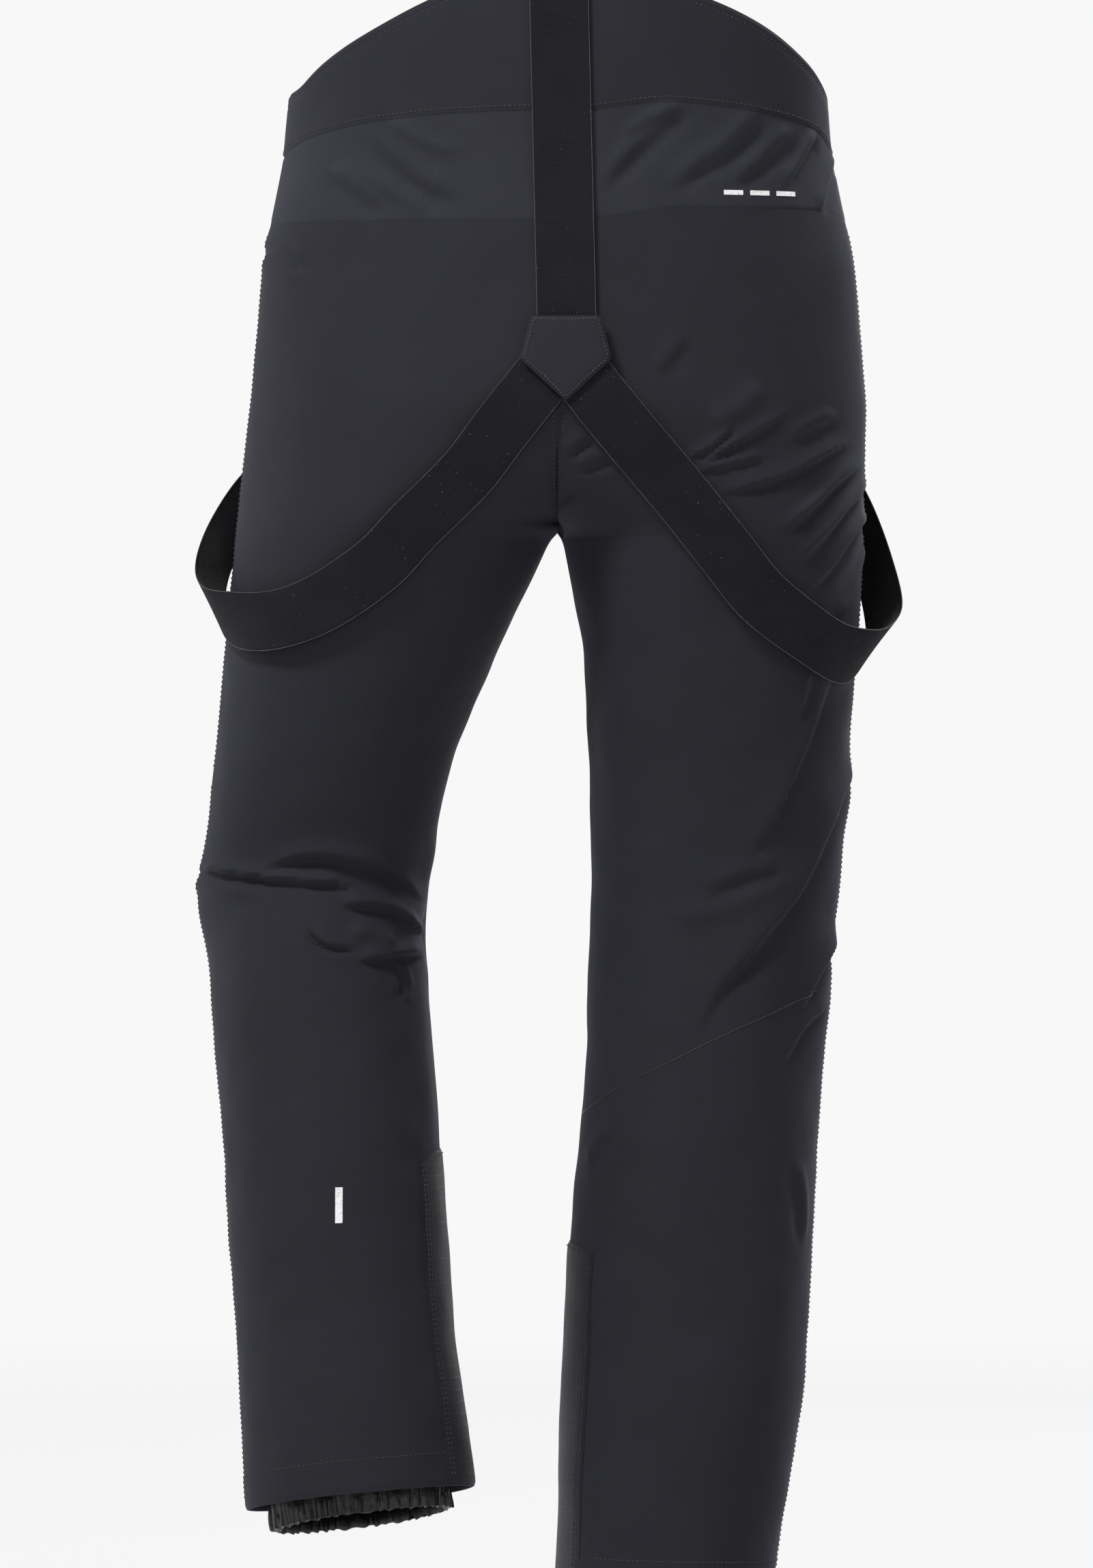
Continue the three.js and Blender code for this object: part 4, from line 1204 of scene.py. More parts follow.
def rounded_outline(width, height, corner, waist=0.0):
    """A rectangle with round corners, drawn in at its middle by the waist."""
    points = []
    for quarter in range(4):
        for step in range(5):
            turn = (quarter + step / 4) * math.pi / 2
            x = (width / 2 - corner) * (1 if quarter in (0, 3) else -1) + corner * math.cos(turn)
            y = (height / 2 - corner) * (1 if quarter in (0, 1) else -1) + corner * math.sin(turn)
            points.append((x, y))
    if waist:
        points = [(x * (1 - waist * (1 - abs(2 * y / height))), y) for x, y in points]
    return points


def make_zip(name, column, angle, top, bottom, cloth, bodies):
    """Tape, coil, slider and pull of one zip."""
    half = half_angle(ZIP["width"], column, top, angle)
    draft = Draft()
    split = 0.25 * half / (ZIP["width"] / 2)
    for low, high in ((angle - half, angle - split), (angle + split, angle + half)):
        tape = Panel(column, straight(top), straight(bottom), straight(low), straight(high), cloth,
                     lift=1.7, thickness=1.0, sewn=(), spacing=3.0)
        tape.sew(draft)
    z = np.arange(top - 4, bottom + 3, -ZIP["pitch"])
    for side in (-1, 1):
        for height in z - side * ZIP["pitch"] / 4:
            frame = surface_frame(column, float(height), angle, 1.2)
            lift = float(cloth.offset(column.at(float(height), angle)[None])[0])
            frame.translation += lift * Vector(frame.col[2][:3])
            shape = [(side * x, y) for x, y in ((-0.3, -0.32), (2.3, -0.5), (2.3, 0.5), (-0.3, 0.32))]
            add_block(draft, frame, shape[::side], 0.0, 1.6, 1, 0.15)
    nodes, materials = [f"{name}_tape"], ["elastic_webbing", "zip_coil"]
    finish_piece(draft, f"{name}_zip", nodes, materials, "root")
    make_slider(name, column, angle, top, cloth, bodies)


def make_slider(name, column, angle, top, cloth, bodies):
    """A moulded slider with its bridge, and the shaped pull that hangs from it."""
    lift = 2.2
    slider_z = top - SLIDER["gap"] - SLIDER["length"] / 2
    frame = surface_frame(column, slider_z, angle, lift)
    draft = Draft()
    shield = [(-3.0, -7), (3.0, -7), (4.5, 0), (4.5, 5), (3.0, 7), (-3.0, 7), (-4.5, 5), (-4.5, 0)]
    add_block(draft, frame, shield, 0.0, 2.2, 0, 0.5)
    add_block(draft, frame, [(-1.2, -4.5), (1.2, -4.5), (1.2, 4.5), (-1.2, 4.5)], 1.8, 3.6, 0, 0.5)
    hard_piece(draft, f"{name}_slider_body", f"{name}_slider", "metal", bodies[0])
    pull_z = slider_z + PULL["lap"] - PULL["length"] / 2
    frame = surface_frame(column, pull_z, angle, lift + 3.9)
    draft = Draft()
    add_block(draft, frame, rounded_outline(PULL["width"], PULL["length"], 2.4, 0.25), 0.0, 1.4, 0, 0.45)
    for rib in range(5):
        y = -9.5 + rib * 2.1
        add_block(draft, frame, [(-2.2, y), (2.2, y), (2.2, y + 1), (-2.2, y + 1)], 1.3, 1.75, 0, 0.2)
    hard_piece(draft, f"{name}_pull_tab", f"{name}_pull", "plastic", bodies[1])


def bag_bottom(angle):
    """The rounded bottom of a pocket's lining."""
    return BAG["bottom"] + BAG["rise"] * (1 - np.cos(BAG["waves"] * (angle + BAG["turn"])))


def make_pockets():
    cloth = folds()
    for name, column in SIDES.items():
        zip_name = f"pocket_zip_{name}"
        angle = math.radians(POCKET["angle"])
        bodies = (f"{name}_pocket_slider", f"{name}_pocket_pull")
        make_zip(zip_name, column, angle, POCKET["top"], POCKET["bottom"], cloth, bodies)
        draft = Draft()
        start, end = (straight(math.radians(BAG[edge])) for edge in ("start", "end"))
        bag = Panel(column, straight(POCKET["top"]), bag_bottom, start, end, cloth,
                    lift=-4.2, sewn=("start", "end", "bottom"))
        bag.sew(draft)
        nodes, materials = [f"pocket_bag_{name}"], ["lining_nylon"]
        finish_piece(draft, f"pocket_lining_{name}", nodes, materials, "root")


def make_fly():
    cloth = folds()
    make_zip("fly_zip", LEFT, FRONT, FLY["top"], FLY["bottom"], cloth, ("fly_slider", "fly_pull"))
    draft = Draft()
    half = half_angle(FLY["shield"], LEFT, FLY["top"], FRONT)
    top, bottom = straight(FLY["top"]), straight(FLY["bottom"])
    start, end = straight(FRONT - half), straight(FRONT + half)
    shield = Panel(LEFT, top, bottom, start, end, cloth, lift=-3.2, thickness=1.2)
    shield.sew(draft)
    finish_piece(draft, "fly_shield_cloth", ["fly_shield"], ["shell_cloth"], "root")


FLAP = {"root": 28, "reach": -50, "top": -46, "bottom": -78, "lift": 2.9}
SNAP = {"z": -62, "places": (-38, -14)}
# Radius and height of the turned faces of a snap.
STUD_PROFILE = [(0, 0), (5, 0), (5, 0.8), (3.2, 1.1), (3.4, 2.0), (0, 2.0)]
CAP_PROFILE = [(0, 0), (7.3, 0), (7.5, 0.5), (7.0, 1.1), (5.6, 1.2), (5.2, 0.9), (4.6, 1.3), (0, 1.6)]


def add_turned(draft, frame, profile, material, sides=36):
    """A turned part: a profile of radius and height spun round the frame's Z axis."""
    turns = np.linspace(0, TAU, sides, endpoint=False)
    rings = [np.c_[r * np.cos(turns), r * np.sin(turns), np.full(sides, h)] for r, h in profile]
    draft.add(placed(frame, np.concatenate(rings)), ring_faces(len(profile), sides), material)


def make_closure():
    cloth = folds()

    def turn(x):
        return -float(LEFT.angle_at(SNAP["z"], x))

    draft = Draft()
    flap = Panel(LEFT, straight(FLAP["top"]), straight(FLAP["bottom"]), straight(turn(FLAP["reach"])),
                 straight(turn(FLAP["root"])), cloth, lift=FLAP["lift"] + 2.2, thickness=2.2)
    flap.sew(draft)
    for edge in ("top", "bottom"):
        add_stitches(draft, *flap.level_line(edge, 3.5, 0.04, 0.96), THREAD)
    for edge in ("start", "end"):
        add_stitches(draft, *flap.side_line(edge, 3.5, 0.08, 0.92), THREAD)
    finish_piece(draft, "front_closure_flap", ["closure_flap"], SEWN[:2], "front_flap")
    for index, x in enumerate(SNAP["places"]):
        angle = turn(x)
        lift = float(cloth.offset(LEFT.at(float(SNAP["z"]), angle)[None])[0])
        parts = (
            ("stud", 0.4 + lift, STUD_PROFILE, "root"),
            ("cap", FLAP["lift"] + 2.3 + lift, CAP_PROFILE, "front_flap"),
        )
        for kind, height, profile, body in parts:
            part = Draft()
            frame = surface_frame(LEFT, float(SNAP["z"]), angle, height)
            add_turned(part, frame, profile, 0)
            hard_piece(part, f"snap_{kind}_metal_{index + 1}", f"snap_{kind}_{index + 1}", "metal", body)


# ------------------------------------------------------------------ braces

BACK_STRAP = {
    "inside_end": 8,
    "inside_gap": 1.2,
    "outside_end": -204,
    "slack": 0.02,
    "top_x": 0,
    "bottom_x": -6,
}
JUNCTION = {"x": -5, "top": -182, "shoulder": -211, "point": -240, "top_half": 23.5, "shoulder_half": 31}
FRONT_STRAP = {"angle": -60, "slack": 0.09}
ANCHOR = {"width": 26, "top": -48.0, "bottom": -79.0}
HOOK = {"top": -60, "bottom": -104, "width": 46}
ADJUSTER_Z = -136
# Where each side strap comes out from under the patch: x, height and slack.
LEFT_START = [(2, -212, 0.02), (13.5, -226, 0.025), (25, -240, 0.04), (39.6, -258, 0.05)]
RIGHT_START = [(-7.5, -212, 0.085), (-19, -226, 0.08), (-30.4, -240, 0.06)]
# Height, angle, slack as a share of the webbing's width, and flare of the upper edge, in degrees.
LEFT_ROUTE = [
    (-287, 90.4, 0.05, 0), (-321, 94, 0.07, 0), (-347, 88.5, 0.1, 0), (-372, 74, 0.115, 0),
    (-384, 58, 0.15, 0), (-386, 40, 0.2, 12), (-380, 20, 0.29, 30), (-364, 4, 0.325, 34),
    (-338, -12, 0.325, 22), (-306, -27, 0.25, 10),
]
RIGHT_ROUTE = [
    (-263, 84.8, 0.05, 0), (-302, 89, 0.055, 0), (-338, 87.4, 0.095, 0), (-370, 75, 0.115, 0),
    (-398, 52, 0.15, 0), (-408, 34, 0.175, 12), (-404, 16, 0.275, 30), (-386, 0, 0.4, 34),
    (-354, -15, 0.325, 22), (-314, -30, 0.25, 10),
]
FRONT_RISE = [(-286, -39, 0.275, 0), (-260, -50, 0.25, 0), (-219, -60, 0.09, 0)]
# The front of each side strap runs straight up the path of its slide, through these heights.
SLIDE_PATH = (-0.0749, 0.0258, 0.9969)
SLIDE_RUN = (-200, -146, -88)


def standoff(slack):
    return slack * WEBBING["width"] + WEBBING["thickness"] / 2


def strap_stations(column, begin, route):
    """Centre, width direction and outward normal at each stop of a strap laid on a column."""
    begin = [(z, math.degrees(column.angle_at(z, x)), slack, 0) for x, z, slack in begin]
    route = [*begin, *route]
    frames = []
    for z, turn, slack, _ in route:
        frames.append(surface_frame(column, float(z), math.radians(turn), standoff(slack)))
    points = [frame.translation.copy() for frame in frames]
    stations = []
    for index, stop in enumerate(route):
        tangent = points[min(index + 1, len(points) - 1)] - points[max(index - 1, 0)]
        tangent.normalize()
        normal = Vector(frames[index].col[2][:3])
        across = normal.cross(tangent).normalized()
        out = tangent.cross(across).normalized()
        tilt = Quaternion(tangent, math.radians(-column.side * stop[3]))
        stations.append((points[index], tilt @ across, tilt @ out))
    return stations


def slide_frame(column):
    """The frame of a slide on its strap: Y up its path and Z outwards."""
    angle = math.radians(FRONT_STRAP["angle"])
    frame = surface_frame(column, float(ADJUSTER_Z), angle, standoff(FRONT_STRAP["slack"]))
    up = Vector((column.side * SLIDE_PATH[0], *SLIDE_PATH[1:])).normalized()
    out = Vector(frame.col[2][:3])
    out = (out - up * out.dot(up)).normalized()
    turned = Matrix((up.cross(out), up, out)).transposed().to_4x4()
    turned.translation = frame.translation
    return turned


def front_stations(column):
    frame = slide_frame(column)
    across, up, out = (Vector(frame.col[key][:3]) for key in range(3))
    return [(frame.translation + up * (z - ADJUSTER_Z) / up.z, -across, out) for z in SLIDE_RUN]


def add_strap(draft, stations, cloth, spacing=4.0):
    """Flat woven webbing through stations, with rounded selvedges and a pale thread along each."""
    centre, across, out = (np.array([s[k] for s in stations], float) for k in range(3))
    length = np.linalg.norm(np.diff(centre, axis=0), axis=1).sum()
    steps = np.linspace(0, len(stations) - 1, int(length / spacing))
    centre, across, out = spline(centre, steps), unit(spline(across, steps)), unit(spline(out, steps))
    lift = np.max([cloth.offset(centre + across * k) for k in (-18, -9, 0, 9, 18)], axis=0)
    kernel = np.ones(9) / 9
    lift = np.convolve(np.pad(lift, 4, mode="edge"), kernel, "valid")
    in_front = smoothstep(-250, -215, centre[:, 2]) * (centre[:, 1] < 0)
    centre = centre + out * (lift * (1 - in_front))[:, None]
    half, thick = WEBBING["width"] / 2, WEBBING["thickness"] / 2
    places = half * np.sin(np.linspace(-1, 1, 17) * math.pi / 2)
    rounding = np.sqrt(np.clip(1 - (np.abs(places) / half) ** 14, 0.0, 1))
    profile = thick * rounding * np.where(abs(places) > 0.9 * half, 1.05, 0.92)
    profile[[0, -1]] = 0.35
    along = np.concatenate([[0], np.cumsum(np.linalg.norm(np.diff(centre, axis=0), axis=1))])
    flat, rise = centre[:, None] + across[:, None] * places[:, None], out[:, None] * profile[:, None]
    outer, inner = flat + rise, flat - rise
    normals, flip = grid_normals(outer, inner - 20 * out[:, None])
    weave = np.stack(np.broadcast_arrays(places[None, :], along[:, None]), -1)
    add_solid(draft, outer, inner, normals, flip, weave)
    for edge in (-1, 1):
        line = centre + across * edge * (half - 0.25) + out * 0.55
        add_tube(draft, line, 0.2, THREAD)
    return along[-1]


def make_strap(name, node, stations, cloth):
    draft = Draft()
    length = add_strap(draft, stations, cloth)
    piece = finish_piece(draft, name, [node], ["elastic_webbing", "edge_thread"], "root")


def back_strap_stations():
    across = Vector((1, 0, 0))
    outside = standoff(BACK_STRAP["slack"])
    inside = -3 - BACK_STRAP["inside_gap"] - WEBBING["thickness"] / 2
    crown_height = BACK_STRAP["inside_gap"] + WEBBING["thickness"] / 2
    crown_half = (outside - inside) / 2

    def point(z, offset):
        return Vector(LEFT.at(float(z), BACK, offset))

    crown = point(BAND["back_top"], (outside + inside) / 2)
    stations = [(point(BACK_STRAP["inside_end"], inside), across, Vector((0, -1, 0)))]
    stations.append((point(30, inside), across, Vector((0, -1, 0))))
    for step in range(7):
        turn = math.pi * step / 6
        out = Vector((0, -math.cos(turn), math.sin(turn)))
        centre = crown + Vector((0, crown_half * out.y, crown_height * out.z))
        stations.append((centre, across, out))
    for z in (20, -20, -60, -100, -140, -176, BACK_STRAP["outside_end"]):
        share = (BAND["back_top"] - z) / (BAND["back_top"] - BACK_STRAP["outside_end"])
        centre = point(z, outside)
        centre.x = BACK_STRAP["top_x"] + share * (BACK_STRAP["bottom_x"] - BACK_STRAP["top_x"])
        stations.append((centre, across, Vector((0, 1, 0))))
    return stations


def make_junction_patch():
    """The five-sided patch that holds the three straps together."""
    top, shoulder, point = JUNCTION["top"], JUNCTION["shoulder"], JUNCTION["point"]
    middle = (top + point) / 2
    angle = float(LEFT.angle_at(float(middle), float(JUNCTION["x"])))
    lift = 0.0775 * WEBBING["width"] + WEBBING["thickness"] + 1.2
    frame = surface_frame(LEFT, float(middle), angle, lift)
    half, wide = JUNCTION["top_half"], JUNCTION["shoulder_half"]
    corners = [(-half, top), (-wide, shoulder), (0, point), (wide, shoulder), (half, top)]
    corners = [(x, z - middle) for x, z in corners]
    outline = soft_corners(corners, 3.0)
    draft = Draft()
    add_dome(draft, frame, outline, 0.0, 1.9)
    inner = outline + unit(outline.mean(0) - outline) * 2.6
    closed = np.vstack([inner, inner[:1]])
    points = placed(frame, np.c_[closed, np.full(len(closed), 2.0)])
    normals = np.tile(np.array(frame.col[2][:3]), (len(points), 1))
    add_stitches(draft, points, normals, THREAD, pitch=2.6, length=1.9)
    nodes, materials = ["brace_junction_patch"], ["shell_cloth", "edge_thread"]
    finish_piece(draft, "brace_patch", nodes, materials, "root", keep_normals=False)


def soft_corners(corners, radius, steps=5, spacing=3.0):
    """An outline through corners, each turned with a small curve."""
    corners = np.array(corners, float)
    points = []
    for index, corner in enumerate(corners):
        following = corners[(index + 1) % len(corners)]
        before = corner + unit(corners[index - 1] - corner) * radius
        after = corner + unit(following - corner) * radius
        for share in np.linspace(0, 1, steps):
            points.append((1 - share) ** 2 * before + 2 * share * (1 - share) * corner + share**2 * after)
        follow = following + unit(corner - following) * radius
        count = max(1, int(np.linalg.norm(follow - after) / spacing))
        points += [after + (follow - after) * k / count for k in range(1, count)]
    return np.array(points)


def add_dome(draft, frame, outline, low, high, rings=8):
    """A padded patch: flat below, rising from its sewn edge to a soft, nearly level top."""
    centre = outline.mean(0)
    levels = [np.c_[outline, np.full(len(outline), low)]]
    for ring in range(rings):
        share = ring / (rings - 1) * 0.96
        height = low + (high - low) * (0.45 + 0.55 * math.sin(min(1, share * 4) * math.pi / 2))
        levels.append(np.c_[outline + (centre - outline) * share, np.full(len(outline), height)])
    points = np.concatenate(levels + [np.array([[*centre, high]])])
    turned = placed(frame, points)
    count = len(outline)
    weave = points[:, :2]
    draft.add(turned, ring_faces(rings + 1, count), 0, None, weave)
    last = rings * count
    cap = [(last + k, last + (k + 1) % count, len(points) - 1) for k in range(count)]
    base = [(k, (k + 1) % count, count)[::-1] for k in range(count)]
    draft.add(turned, cap, 0, None, weave)
    draft.add(np.vstack([turned[:count], turned[:count].mean(0)]), base, 0)


def make_braces():
    cloth = folds()
    make_strap("back_brace_strap", "brace_back_strap", back_strap_stations(), cloth)
    make_junction_patch()
    for name, begin, route in (("left", LEFT_START, LEFT_ROUTE), ("right", RIGHT_START, RIGHT_ROUTE)):
        stations = strap_stations(SIDES[name], begin, [*route, *FRONT_RISE]) + front_stations(SIDES[name])
        make_strap(f"side_brace_strap_{name}", f"brace_strap_{name}", stations, cloth)


def make_fittings():
    """The anchor loop, the hook plate and the sliding adjuster at the front of each brace."""
    cloth = folds()
    for name, column in SIDES.items():
        angle = math.radians(FRONT_STRAP["angle"])
        make_anchor(name, column, angle, cloth)
        lift = standoff(FRONT_STRAP["slack"]) + WEBBING["thickness"] / 2 + 0.6
        middle = (HOOK["top"] + HOOK["bottom"]) / 2
        height = HOOK["top"] - HOOK["bottom"]
        frame = surface_frame(column, float(middle), angle, lift, height / 2)
        draft = Draft()
        plate = rounded_outline(HOOK["width"], height, 5)
        add_block(draft, frame, plate, 0.0, 2.6, 0, 0.7)
        for y, tall in ((14.5, 9.0), (-13.5, 11.0)):
            bar = np.array(rounded_outline(HOOK["width"] - 7, tall, 3)) + np.array([0, y])
            add_block(draft, frame, bar, 2.4, 4.0, 0, 0.7)
        hard_piece(draft, f"hook_plate_{name}", f"brace_hook_{name}", "plastic", "root")
        make_adjuster(name, column)


def make_anchor(name, column, angle, cloth):
    draft = Draft()
    half = half_angle(ANCHOR["width"], column, ANCHOR["top"], angle)
    top, bottom = straight(ANCHOR["top"]), straight(ANCHOR["bottom"])
    start, end = straight(angle - half), straight(angle + half)
    panel = Panel(column, top, bottom, start, end, cloth, lift=4.2, thickness=2.4, sewn=())
    panel.sew(draft)
    for distance in (3.0, 6.0):
        add_stitches(draft, *panel.level_line("top", distance, 0.06, 0.94), THREAD)
    nodes, materials = [f"brace_anchor_{name}"], ["elastic_webbing", "seam_thread"]
    finish_piece(draft, f"anchor_loop_{name}", nodes, materials, "root")


SLIDE = {"bar": 4.6, "pitch": 8.6, "post": 1.8, "length": 22, "near": 1.9, "far": 3.3}


def make_adjuster(name, column):
    """A three-bar slide: a frame round the strap with a bar across its face."""
    frame = slide_frame(column)
    width, near, far = WEBBING["width"] + 4.6, SLIDE["near"], SLIDE["far"]
    draft = Draft()
    for low, high, places in ((near, far, (-1, 0, 1)), (-far, -near, (-1, 1))):
        for place in places:
            bar = np.array(rounded_outline(width, SLIDE["bar"], 2.2))
            bar[:, 1] += place * SLIDE["pitch"]
            add_block(draft, frame, bar, low, high, 0, 0.5)
    for side in (-1, 1):
        post = np.array(rounded_outline(SLIDE["post"], SLIDE["length"], 0.8))
        post[:, 0] += side * (width - SLIDE["post"]) / 2
        add_block(draft, frame, post, -far, far, 0, 0.4)
    hard_piece(draft, f"brace_slide_{name}", f"brace_adjuster_{name}", "plastic", f"{name}_adjuster")


# ------------------------------------------------------------------ stage


PAPER = (0.938, 0.938, 0.938, 1)
FLOOR = {"half": 60.0, "below": 0.06}


def make_stage():
    scene = bpy.context.scene
    light = scene.ski_pants_light
    scene.view_settings.view_transform = "Standard"
    make_floor()
    make_world(light)
    for name, place, size, power in (
        ("key_light", (1.9, 2.0, 2.9), 0.8, light.key),
        ("fill_light", (-3.4, 1.8, 0.9), 1.8, light.fill * 0.5),
        ("front_key_light", (-1.7, -1.7, 3.0), 1.2, light.key * 1.1),
        ("front_fill_light", (3.4, -1.8, 0.9), 1.8, light.fill),
        ("top_light", (0.0, 0.4, 3.4), 3.0, light.top),
        ("low_light", (0.9, 4.0, 0.4), 0.9, light.low),
        ("front_low_light", (-0.9, -4.0, 0.4), 0.9, light.low * 1.5),
    ):
        data = bpy.data.lights.new(name, "AREA")
        data.size, data.energy = size, power
        lamp = bpy.data.objects.new(name, data)
        lamp.location = place
        target = Vector((0, 0, -0.5)) - Vector(place)
        lamp.rotation_euler = target.to_track_quat("-Z", "Y").to_euler()
        scene.collection.objects.link(lamp)
    make_camera()


def make_floor():
    mesh = bpy.data.meshes.new("studio_floor")
    half, height = FLOOR["half"], CAD_BOX[0][2] - FLOOR["below"]
    corners = [(x * half, y * half, height) for x, y in ((-1, -1), (1, -1), (1, 1), (-1, 1))]
    mesh.from_pydata(corners, [], [(0, 1, 2, 3)])
    floor = bpy.data.objects.new("studio_floor", mesh)
    bpy.context.scene.collection.objects.link(floor)
    f = Finish("studio_paper")
    where = f.node("ShaderNodeVectorMath", {"operation": "LENGTH"}, {0: f.place()}, 1)
    far = where.step(1.2, 6.0) * 0.2 + 0.8
    grain = f.noise(0.3, 3.0).step(0.2, 0.8)
    f.set(Base_Color=f.mix(grain, (0.46, 0.46, 0.46, 1), (0.48, 0.48, 0.48, 1)), Roughness=0.95)
    glow = f.node("ShaderNodeEmission", {}, {"Color": PAPER, "Strength": 1.0})
    both = f.node("ShaderNodeMixShader", {}, {0: far, 1: Sock(f, f.shader.outputs[0]), 2: glow})
    f.links.new(both.socket, f.nodes["Material Output"].inputs["Surface"])
    mesh.materials.append(f.material)


def make_world(light):
    """Plain pale surroundings: bright to look at, softer as a light on the cloth."""
    world = bpy.data.worlds.new("studio")
    bpy.context.scene.world = world
    world.use_nodes = True
    nodes, links = world.node_tree.nodes, world.node_tree.links
    seen = nodes["Background"]
    seen.inputs["Color"].default_value = PAPER
    lit = nodes.new("ShaderNodeBackground")
    lit.inputs["Color"].default_value = (0.97, 0.98, 1.0, 1)
    lit.inputs["Strength"].default_value = light.ambient
    path = nodes.new("ShaderNodeLightPath")
    mix = nodes.new("ShaderNodeMixShader")
    links.new(path.outputs["Is Camera Ray"], mix.inputs[0])
    links.new(lit.outputs[0], mix.inputs[1])
    links.new(seen.outputs[0], mix.inputs[2])
    links.new(mix.outputs[0], nodes["World Output"].inputs["Surface"])


def make_camera():
    data = bpy.data.cameras.new("camera")
    data.lens = 303
    data.sensor_width = 36
    data.clip_end = 200
    camera = bpy.data.objects.new("camera", data)
    camera.location = (0.008, 9.0, -0.496)
    camera.rotation_euler = (math.pi / 2, 0, math.pi)
    bpy.context.scene.collection.objects.link(camera)
    bpy.context.scene.camera = camera


# ------------------------------------------------------------------ settings, operators and panel


def colour_setting(name, description, default):
    return bpy.props.FloatVectorProperty(
        name=name, description=description, default=default, size=3, subtype="COLOR")


def power_setting(name, default):
    description = f"Power of the {name.lower()}"
    return bpy.props.FloatProperty(name=name, description=description, default=default, unit="POWER")


class SkiPantsCloth(bpy.types.PropertyGroup):
    fold_depth: bpy.props.FloatProperty(
        name="Fold depth", description="Share of the full depth of the folds", default=1.6, min=0, max=2.5,
        subtype="FACTOR")


class SkiPantsFinish(bpy.types.PropertyGroup):
    cloth: colour_setting("Cloth", "Colour of the softshell", (0.0158, 0.0164, 0.0212))
    guard: colour_setting("Guard", "Colour of the ankle guards", (0.0098, 0.0102, 0.0165))
    webbing: colour_setting("Webbing", "Colour of the elastic braces", (0.0098, 0.0092, 0.0122))
    thread: colour_setting("Thread", "Colour of the topstitching", (0.02, 0.02, 0.024))


class SkiPantsLight(bpy.types.PropertyGroup):
    key: power_setting("Key light", 165.0)
    fill: power_setting("Fill light", 36.0)
    top: power_setting("Top light", 50.0)
    low: power_setting("Low light", 22.0)
    ambient: bpy.props.FloatProperty(
        name="Surroundings", description="Strength of the surroundings", default=0.2)


class BuildStep(bpy.types.Operator):
    bl_options = {"REGISTER"}


class SKIPANTS_OT_stage(BuildStep):
    """Set up the floor, lights and camera"""

    bl_idname = "ski_pants.stage"
    bl_label = "Stage"

    def execute(self, context):
        make_stage()
        return {"FINISHED"}


class SKIPANTS_OT_waistband(BuildStep):
    """Sew the waistband with its raised back"""

    bl_idname = "ski_pants.waistband"
    bl_label = "Waistband"

    def execute(self, context):
        make_waistband()
        return {"FINISHED"}


class SKIPANTS_OT_yoke(BuildStep):
    """Sew the back yoke"""

    bl_idname = "ski_pants.yoke"
    bl_label = "Back yoke"

    def execute(self, context):
        make_yoke()
        return {"FINISHED"}


class SKIPANTS_OT_upper_legs(BuildStep):
    """Sew the seat and thigh of each side"""

    bl_idname = "ski_pants.upper_legs"
    bl_label = "Seat and thighs"

    def execute(self, context):
        for name, column in SIDES.items():
            upper_leg(name, column)
        return {"FINISHED"}


class SKIPANTS_OT_lower_legs(BuildStep):
    """Sew the knee and shin of each side"""

    bl_idname = "ski_pants.lower_legs"
    bl_label = "Knees and shins"

    def execute(self, context):
        for name, column in SIDES.items():
            lower_leg(name, column)
        return {"FINISHED"}


class SKIPANTS_OT_cuffs(BuildStep):
    """Add the ankle guards and the gathered snow cuffs"""

    bl_idname = "ski_pants.cuffs"
    bl_label = "Guards and snow cuffs"

    def execute(self, context):
        for name, column in SIDES.items():
            make_kick_patch(name, column)
            make_gaiter(name, column)
        return {"FINISHED"}


class SKIPANTS_OT_pockets(BuildStep):
    """Add the zipped hand pockets and their linings"""

    bl_idname = "ski_pants.pockets"
    bl_label = "Pockets"

    def execute(self, context):
        make_pockets()
        return {"FINISHED"}


class SKIPANTS_OT_fly(BuildStep):
    """Add the fly zip and its shield"""

    bl_idname = "ski_pants.fly"
    bl_label = "Fly"

    def execute(self, context):
        make_fly()
        return {"FINISHED"}


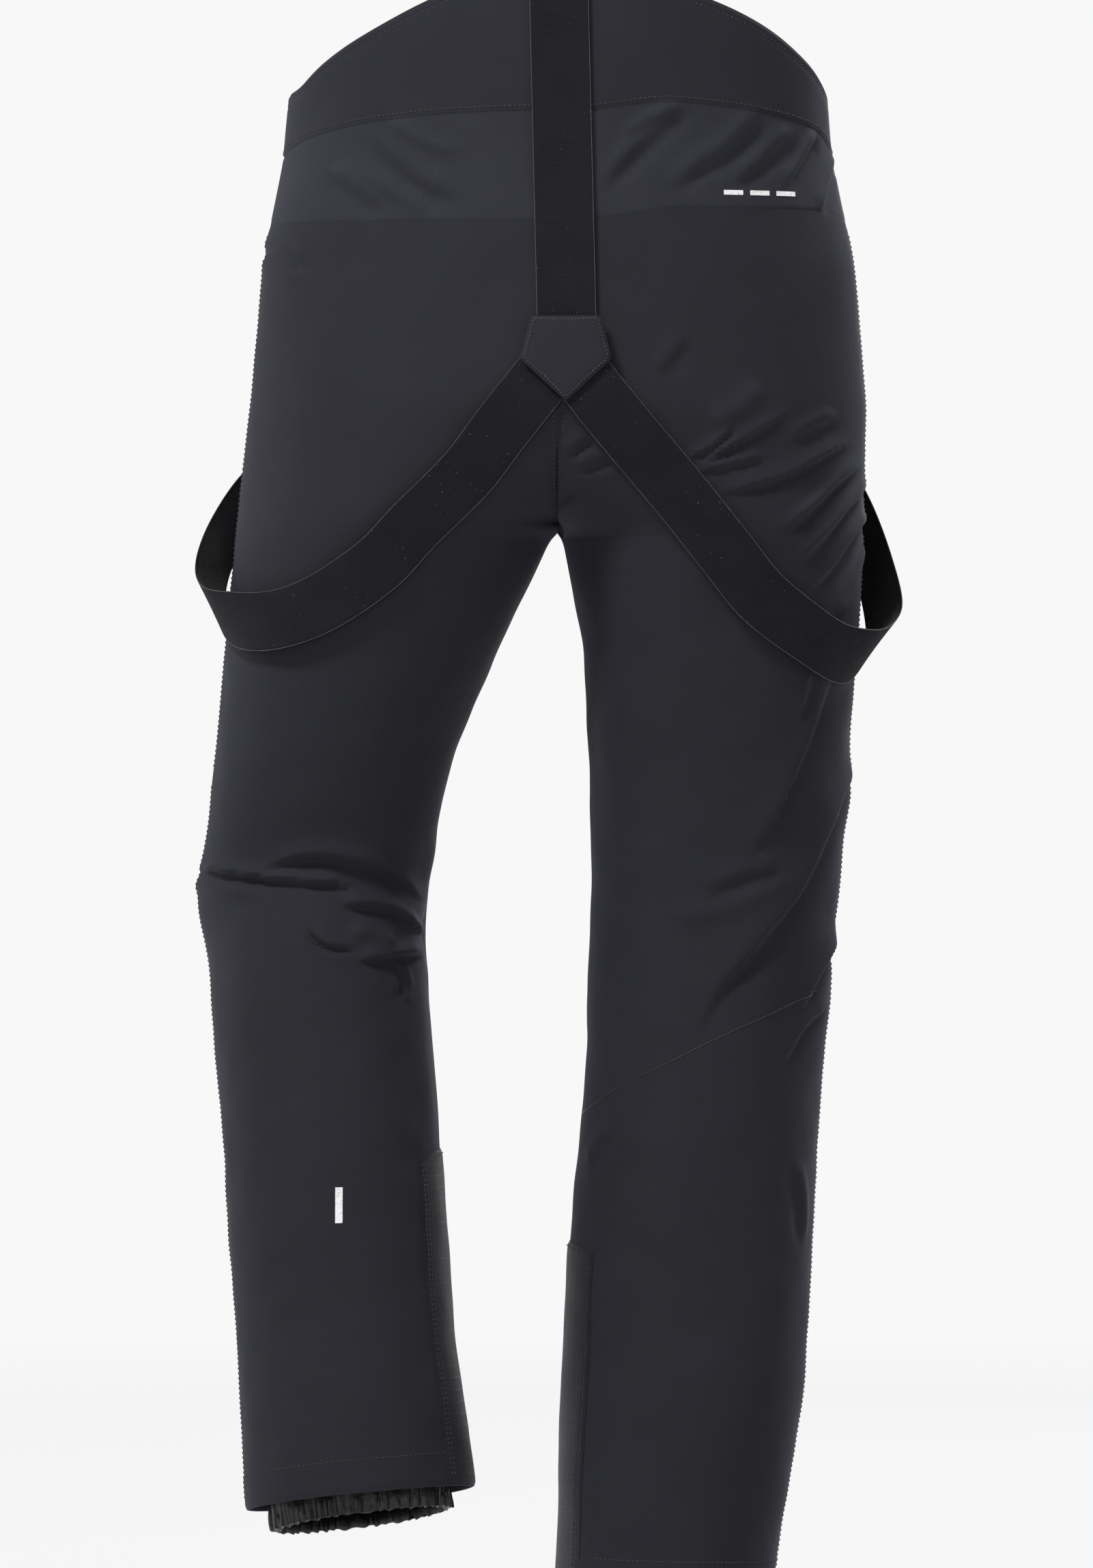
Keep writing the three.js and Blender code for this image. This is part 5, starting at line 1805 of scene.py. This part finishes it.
class SKIPANTS_OT_closure(BuildStep):
    """Add the closing flap and its snaps"""

    bl_idname = "ski_pants.closure"
    bl_label = "Closing flap"

    def execute(self, context):
        make_closure()
        return {"FINISHED"}


class SKIPANTS_OT_braces(BuildStep):
    """Hang the elastic braces and their patch"""

    bl_idname = "ski_pants.braces"
    bl_label = "Braces"

    def execute(self, context):
        make_braces()
        return {"FINISHED"}


class SKIPANTS_OT_fittings(BuildStep):
    """Add the anchors, hooks and adjusters of the braces"""

    bl_idname = "ski_pants.fittings"
    bl_label = "Brace fittings"

    def execute(self, context):
        make_fittings()
        return {"FINISHED"}


STEPS = (
    SKIPANTS_OT_stage,
    SKIPANTS_OT_waistband,
    SKIPANTS_OT_yoke,
    SKIPANTS_OT_upper_legs,
    SKIPANTS_OT_lower_legs,
    SKIPANTS_OT_cuffs,
    SKIPANTS_OT_pockets,
    SKIPANTS_OT_fly,
    SKIPANTS_OT_closure,
    SKIPANTS_OT_braces,
    SKIPANTS_OT_fittings,
)


class SKIPANTS_PT_sidebar(bpy.types.Panel):
    """The steps and settings of the ski pants"""

    bl_idname = "SKIPANTS_PT_sidebar"
    bl_label = "Ski pants"
    bl_space_type = "VIEW_3D"
    bl_region_type = "UI"
    bl_category = "Ski pants"

    def draw(self, context):
        for step in STEPS:
            self.layout.operator(step.bl_idname)
        for name in SETTINGS:
            group = getattr(context.scene, name)
            for key in group.__annotations__:
                self.layout.prop(group, key)


SETTINGS = {
    "ski_pants_cloth": SkiPantsCloth,
    "ski_pants_finish": SkiPantsFinish,
    "ski_pants_light": SkiPantsLight,
}
CLASSES = (*SETTINGS.values(), *STEPS, SKIPANTS_PT_sidebar)


def register():
    for kind in CLASSES:
        bpy.utils.register_class(kind)
    for name, group in SETTINGS.items():
        setattr(bpy.types.Scene, name, bpy.props.PointerProperty(type=group))


def unregister():
    for name in SETTINGS:
        delattr(bpy.types.Scene, name)
    for kind in reversed(CLASSES):
        bpy.utils.unregister_class(kind)


def main():
    register()
    for step in STEPS:
        group, name = step.bl_idname.split(".")
        getattr(getattr(bpy.ops, group), name)()


if __name__ == "__main__":
    main()
